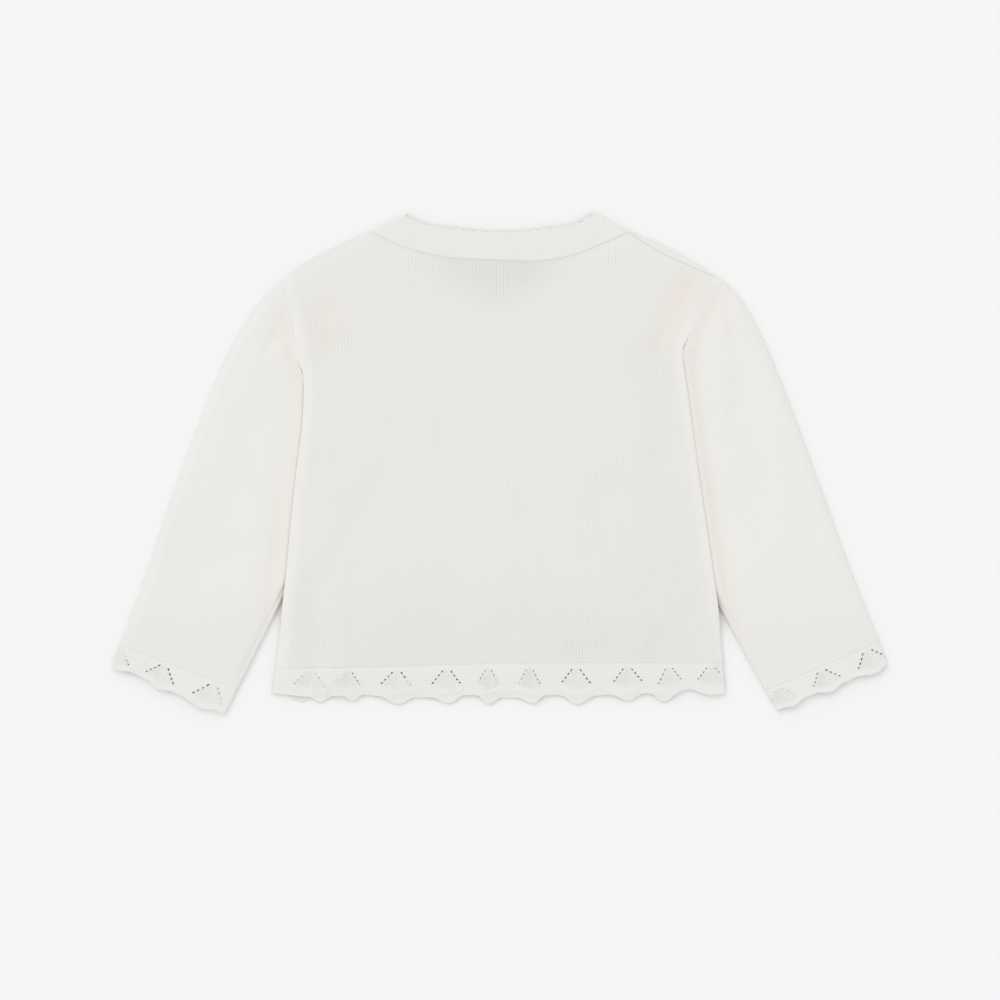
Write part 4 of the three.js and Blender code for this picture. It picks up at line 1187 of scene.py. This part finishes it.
def back_hem_edge(share):
    x = BACK_EDGE[0][0] + (BACK_EDGE[-1][0] - BACK_EDGE[0][0]) * np.asarray(share, float)
    return np.stack([x, scalloped(BACK_EDGE, x)], axis=-1)


chart = fan_lace(first_wale, last_wale, HEM_COURSES, fans, HEM_EYELET_ROWS)
across = (np.interp(chart["wale"], wales, places) - places[0]) / (places[-1] - places[0])
plan = four_sided(hem_line, back_hem_edge, straight_line(HEM_LINE[0], BACK_EDGE[0]),
                  straight_line(HEM_LINE[-1], BACK_EDGE[-1]))
x, y, rise, (from_left, from_right, from_top, from_edge) = lay_panel(
    plan, across, chart["course"] / HEM_COURSES, (1, -RIM), (1, -RIM), (0, 0))
within = ease(np.minimum(from_left, from_right), 0, FULL_FROM_SIDE)
front_y = np.where(x < 0, scalloped(FRONT_EDGES["left"], x - BACK_EDGE[0][0]),
                   scalloped(FRONT_EDGES["right"], BACK_EDGE[-1][0] - x))
drop = EDGE_DROP * (1 - ease(from_edge, 0, LACE_EASE)) + FREE_DROP * ease(front_y - y, *FREE_DROP_OVER)
air = (1 - AIR_LOST_AT_EDGE * ease(from_top, *AIR_LOST_OVER)) * body_air(x, y) - drop
swell = FAN_SWELL * chart["in_fan"] * ease(from_top, 0, LACE_EASE)
z = MIDDLE + rise + body_lift(x, y) + within * (air + swell)
hem_back = lace_piece("hem_back_lace", np.stack([x, y, z], axis=-1), chart, "hem_back")

# ---- Lace borders of the fronts ----
# The same fan lace along the hem of each front, with five fans to a side. Its scallops show a little below
# those of the back near the side seams.

# Each fan's distance in from the side, its width as a share of the knitted one, and how open its eyelets are
FRONT_FANS = {"left": (18.0, 45.0, 71.0, 97.0, 122.0), "right": (10.0, 36.0, 62.0, 88.0, 114.0)}
FRONT_FAN_WIDTH = 0.9
FRONT_EYELETS = (0.85, 0.9, 0.9, 0.9)

# In from its side fold the border stands this far clear of the table, over this distance
CLEAR_OF_TABLE = 0.35
CLEAR_OVER = 3.0

for side, fans_in in FRONT_FANS.items():
    first, last = (0, FRONT_SHARE) if side == "left" else (1, 1 - FRONT_SHARE)
    side_x = BACK_EDGE[0 if side == "left" else -1][0]
    centre_x = hem_line(last)[0]
    width = abs(centre_x - side_x)

    def front_top(share):
        return hem_line(first + (last - first) * np.asarray(share, float))

    def front_edge(share):
        share = np.asarray(share, float)
        x = side_x + (centre_x - side_x) * share
        return np.stack([x, scalloped(FRONT_EDGES[side], share * width)], axis=-1)

    fan_widths = [FRONT_FAN_WIDTH] * len(fans_in)
    first_wale, last_wale, wales, places = fan_places(fans_in, fan_widths, 0, width)
    fans = [(number * FAN_WALES, FRONT_EYELETS, FRONT_EYELETS) for number in range(len(fans_in))]
    chart = fan_lace(first_wale, last_wale, HEM_COURSES, fans, HEM_EYELET_ROWS)
    plan = four_sided(front_top, front_edge, straight_line(front_top(0), front_edge(0)),
                      straight_line(front_top(1), front_edge(1)))
    across = np.interp(chart["wale"], wales, places) / width
    x, y, rise, (from_side, *_) = lay_panel(
        plan, across, chart["course"] / HEM_COURSES, (1, -RIM), (0, 0), (0, 0))
    z = MIDDLE - rise + body_lift(x, y) + CLEAR_OF_TABLE * ease(from_side, 0, CLEAR_OVER)
    piece = lace_piece(f"hem_front_{side}_lace", np.stack([x, y, z], axis=-1), chart, f"hem_front_{side}",
                       turned_over=side == "left")

# ---- Lace cuffs ----
# The same fan lace knitted on to the end of each sleeve, five fans round, and closed with the underarm seam.
# It lies flat with the sleeve.

# Each cuff's rim runs from its outer to its inner end, and its first fan's spine is on the wale given. Round
# it from the outer fold: where the fans lie, how far the edge draws back from the rim's line, and how open
# each fan's eyelets are down each side
CUFFS = {
    "left": {
        "outer": (-232.5, -119.6),
        "inner": (-165.0, -151.0),
        "spine": 1,
        "fans": [1.0, 29.3, 61.2, 91.0, 120.5],
        "edge": [
            (0, -1.4), (4.5, -2.2), (13.0, 0.2), (23.0, 0.2), (31.0, -2.2), (41.0, 0.2), (45.0, 0.2),
            (59.7, -1.6), (68.6, 0.8), (76.0, 0.6), (91.0, -1.2), (105.0, 1.0), (120.5, -1.4), (135.0, 1.2),
            (149.8, -1.4),
        ],
        "openings": [
            ((0.6, 0.6, 0.6, 0.6), (0.5, 0.5, 0.75, 0.95)),
            ((1.0, 0.85, 0.95, 0.9), (0.95, 0.95, 0.95, 1.0)),
            ((1.0, 0.8, 0.95, 0.95), (0.7, 0.7, 0.45, 0.4)),
            ((0.8, 0.8, 0.8, 0.8), (0.8, 0.8, 0.8, 0.8)),
            ((0.8, 0.8, 0.8, 0.8), (0.8, 0.8, 0.8, 0.8)),
        ],
    },
    "right": {
        "outer": (232.5, -119.6),
        "inner": (166.5, -149.4),
        "spine": 5,
        "fans": [9.0, 39.0, 67.0, 95.5, 125.5],
        "edge": [
            (0, 0.2), (9.0, -2.3), (22.0, 0.6), (30.0, 0.6), (38.0, -1.5), (49.0, 1.9), (55.0, 1.9),
            (63.5, 0.0), (70.0, 1.6), (81.0, 3.6), (95.5, 2.1), (110.0, 3.4), (125.5, 0.9), (138.0, 2.6),
            (148.5, 0.2),
        ],
        "openings": [
            ((0.9, 0.95, 1.0, 0.9), (0.9, 1.0, 1.0, 0.95)),
            ((0.95, 0.9, 0.9, 0.95), (0.85, 0.85, 0.8, 0.8)),
            ((0.5, 0.5, 0.4, 0), (0.5, 0.4, 0.4, 0)),
            ((0.8, 0.8, 0.8, 0.8), (0.8, 0.8, 0.8, 0.8)),
            ((0.8, 0.8, 0.8, 0.8), (0.8, 0.8, 0.8, 0.8)),
        ],
    },
}
CUFF_COURSES = 13
CUFF_EYELET_ROWS = (8, 14, 20, 26)

# The sleeve's air thins by this share down the cuff, over this distance, and the fans swell a little
CUFF_AIR_LOST = 0.6
CUFF_AIR_LOST_OVER = 14.0
CUFF_FAN_SWELL = 0.3

for side, cuff in CUFFS.items():
    top = sleeve_ends[side]
    girth = 2 * np.linalg.norm(top(1) - top(0))
    fans_round = [cuff["fans"][-1] - girth, *cuff["fans"], cuff["fans"][0] + girth]
    rim = straight_line(cuff["outer"], cuff["inner"])
    along_rim = unit(rim(1) - rim(0))
    towards_sleeve = np.array([-along_rim[1], along_rim[0]]) * (1 if side == "left" else -1)

    count = len(cuff["fans"]) * FAN_WALES
    spines = [cuff["spine"] + number * FAN_WALES for number in range(-1, len(cuff["fans"]) + 1)]
    fans = [(spine, *openings) for spine, openings in zip(spines[1:], cuff["openings"])]
    chart = fan_lace(0, count, CUFF_COURSES, fans, CUFF_EYELET_ROWS, ring=True)
    around = np.interp(chart["wale"], spines, fans_round) / girth * 2 % 2
    layers = []
    for is_upper in (True, False):
        def cuff_edge(share):
            share = np.asarray(share, float)
            place = share * girth / 2 if is_upper else girth - share * girth / 2
            return rim(share) + scalloped(cuff["edge"], place)[..., None] * towards_sleeve
        plan = four_sided(top, cuff_edge, straight_line(top(0), cuff_edge(0)),
                          straight_line(top(1), cuff_edge(1)))
        layers.append(lay_tube(plan, around, chart["course"] / CUFF_COURSES))
    above, below = layers
    x, y, rise = (np.where(around <= 1, on_top, under) for on_top, under in zip(above[:3], below[:3]))
    from_outer, from_inner, from_top, _ = above[3]
    within = ease(np.minimum(from_outer, from_inner), 0, FULL_FROM_FOLD)
    air = SLEEVE_LOFT * LOFT_AT_CUFF * (1 - CUFF_AIR_LOST * ease(from_top, 0, CUFF_AIR_LOST_OVER))
    swell = within * (air + CUFF_FAN_SWELL * chart["in_fan"])
    z = MIDDLE + rise + np.where(rise > 0, swell, 0)
    piece = lace_piece(f"cuff_{side}_lace", np.stack([x, y, z], axis=-1), chart, f"cuff_{side}",
                       turned_over=side == "right")
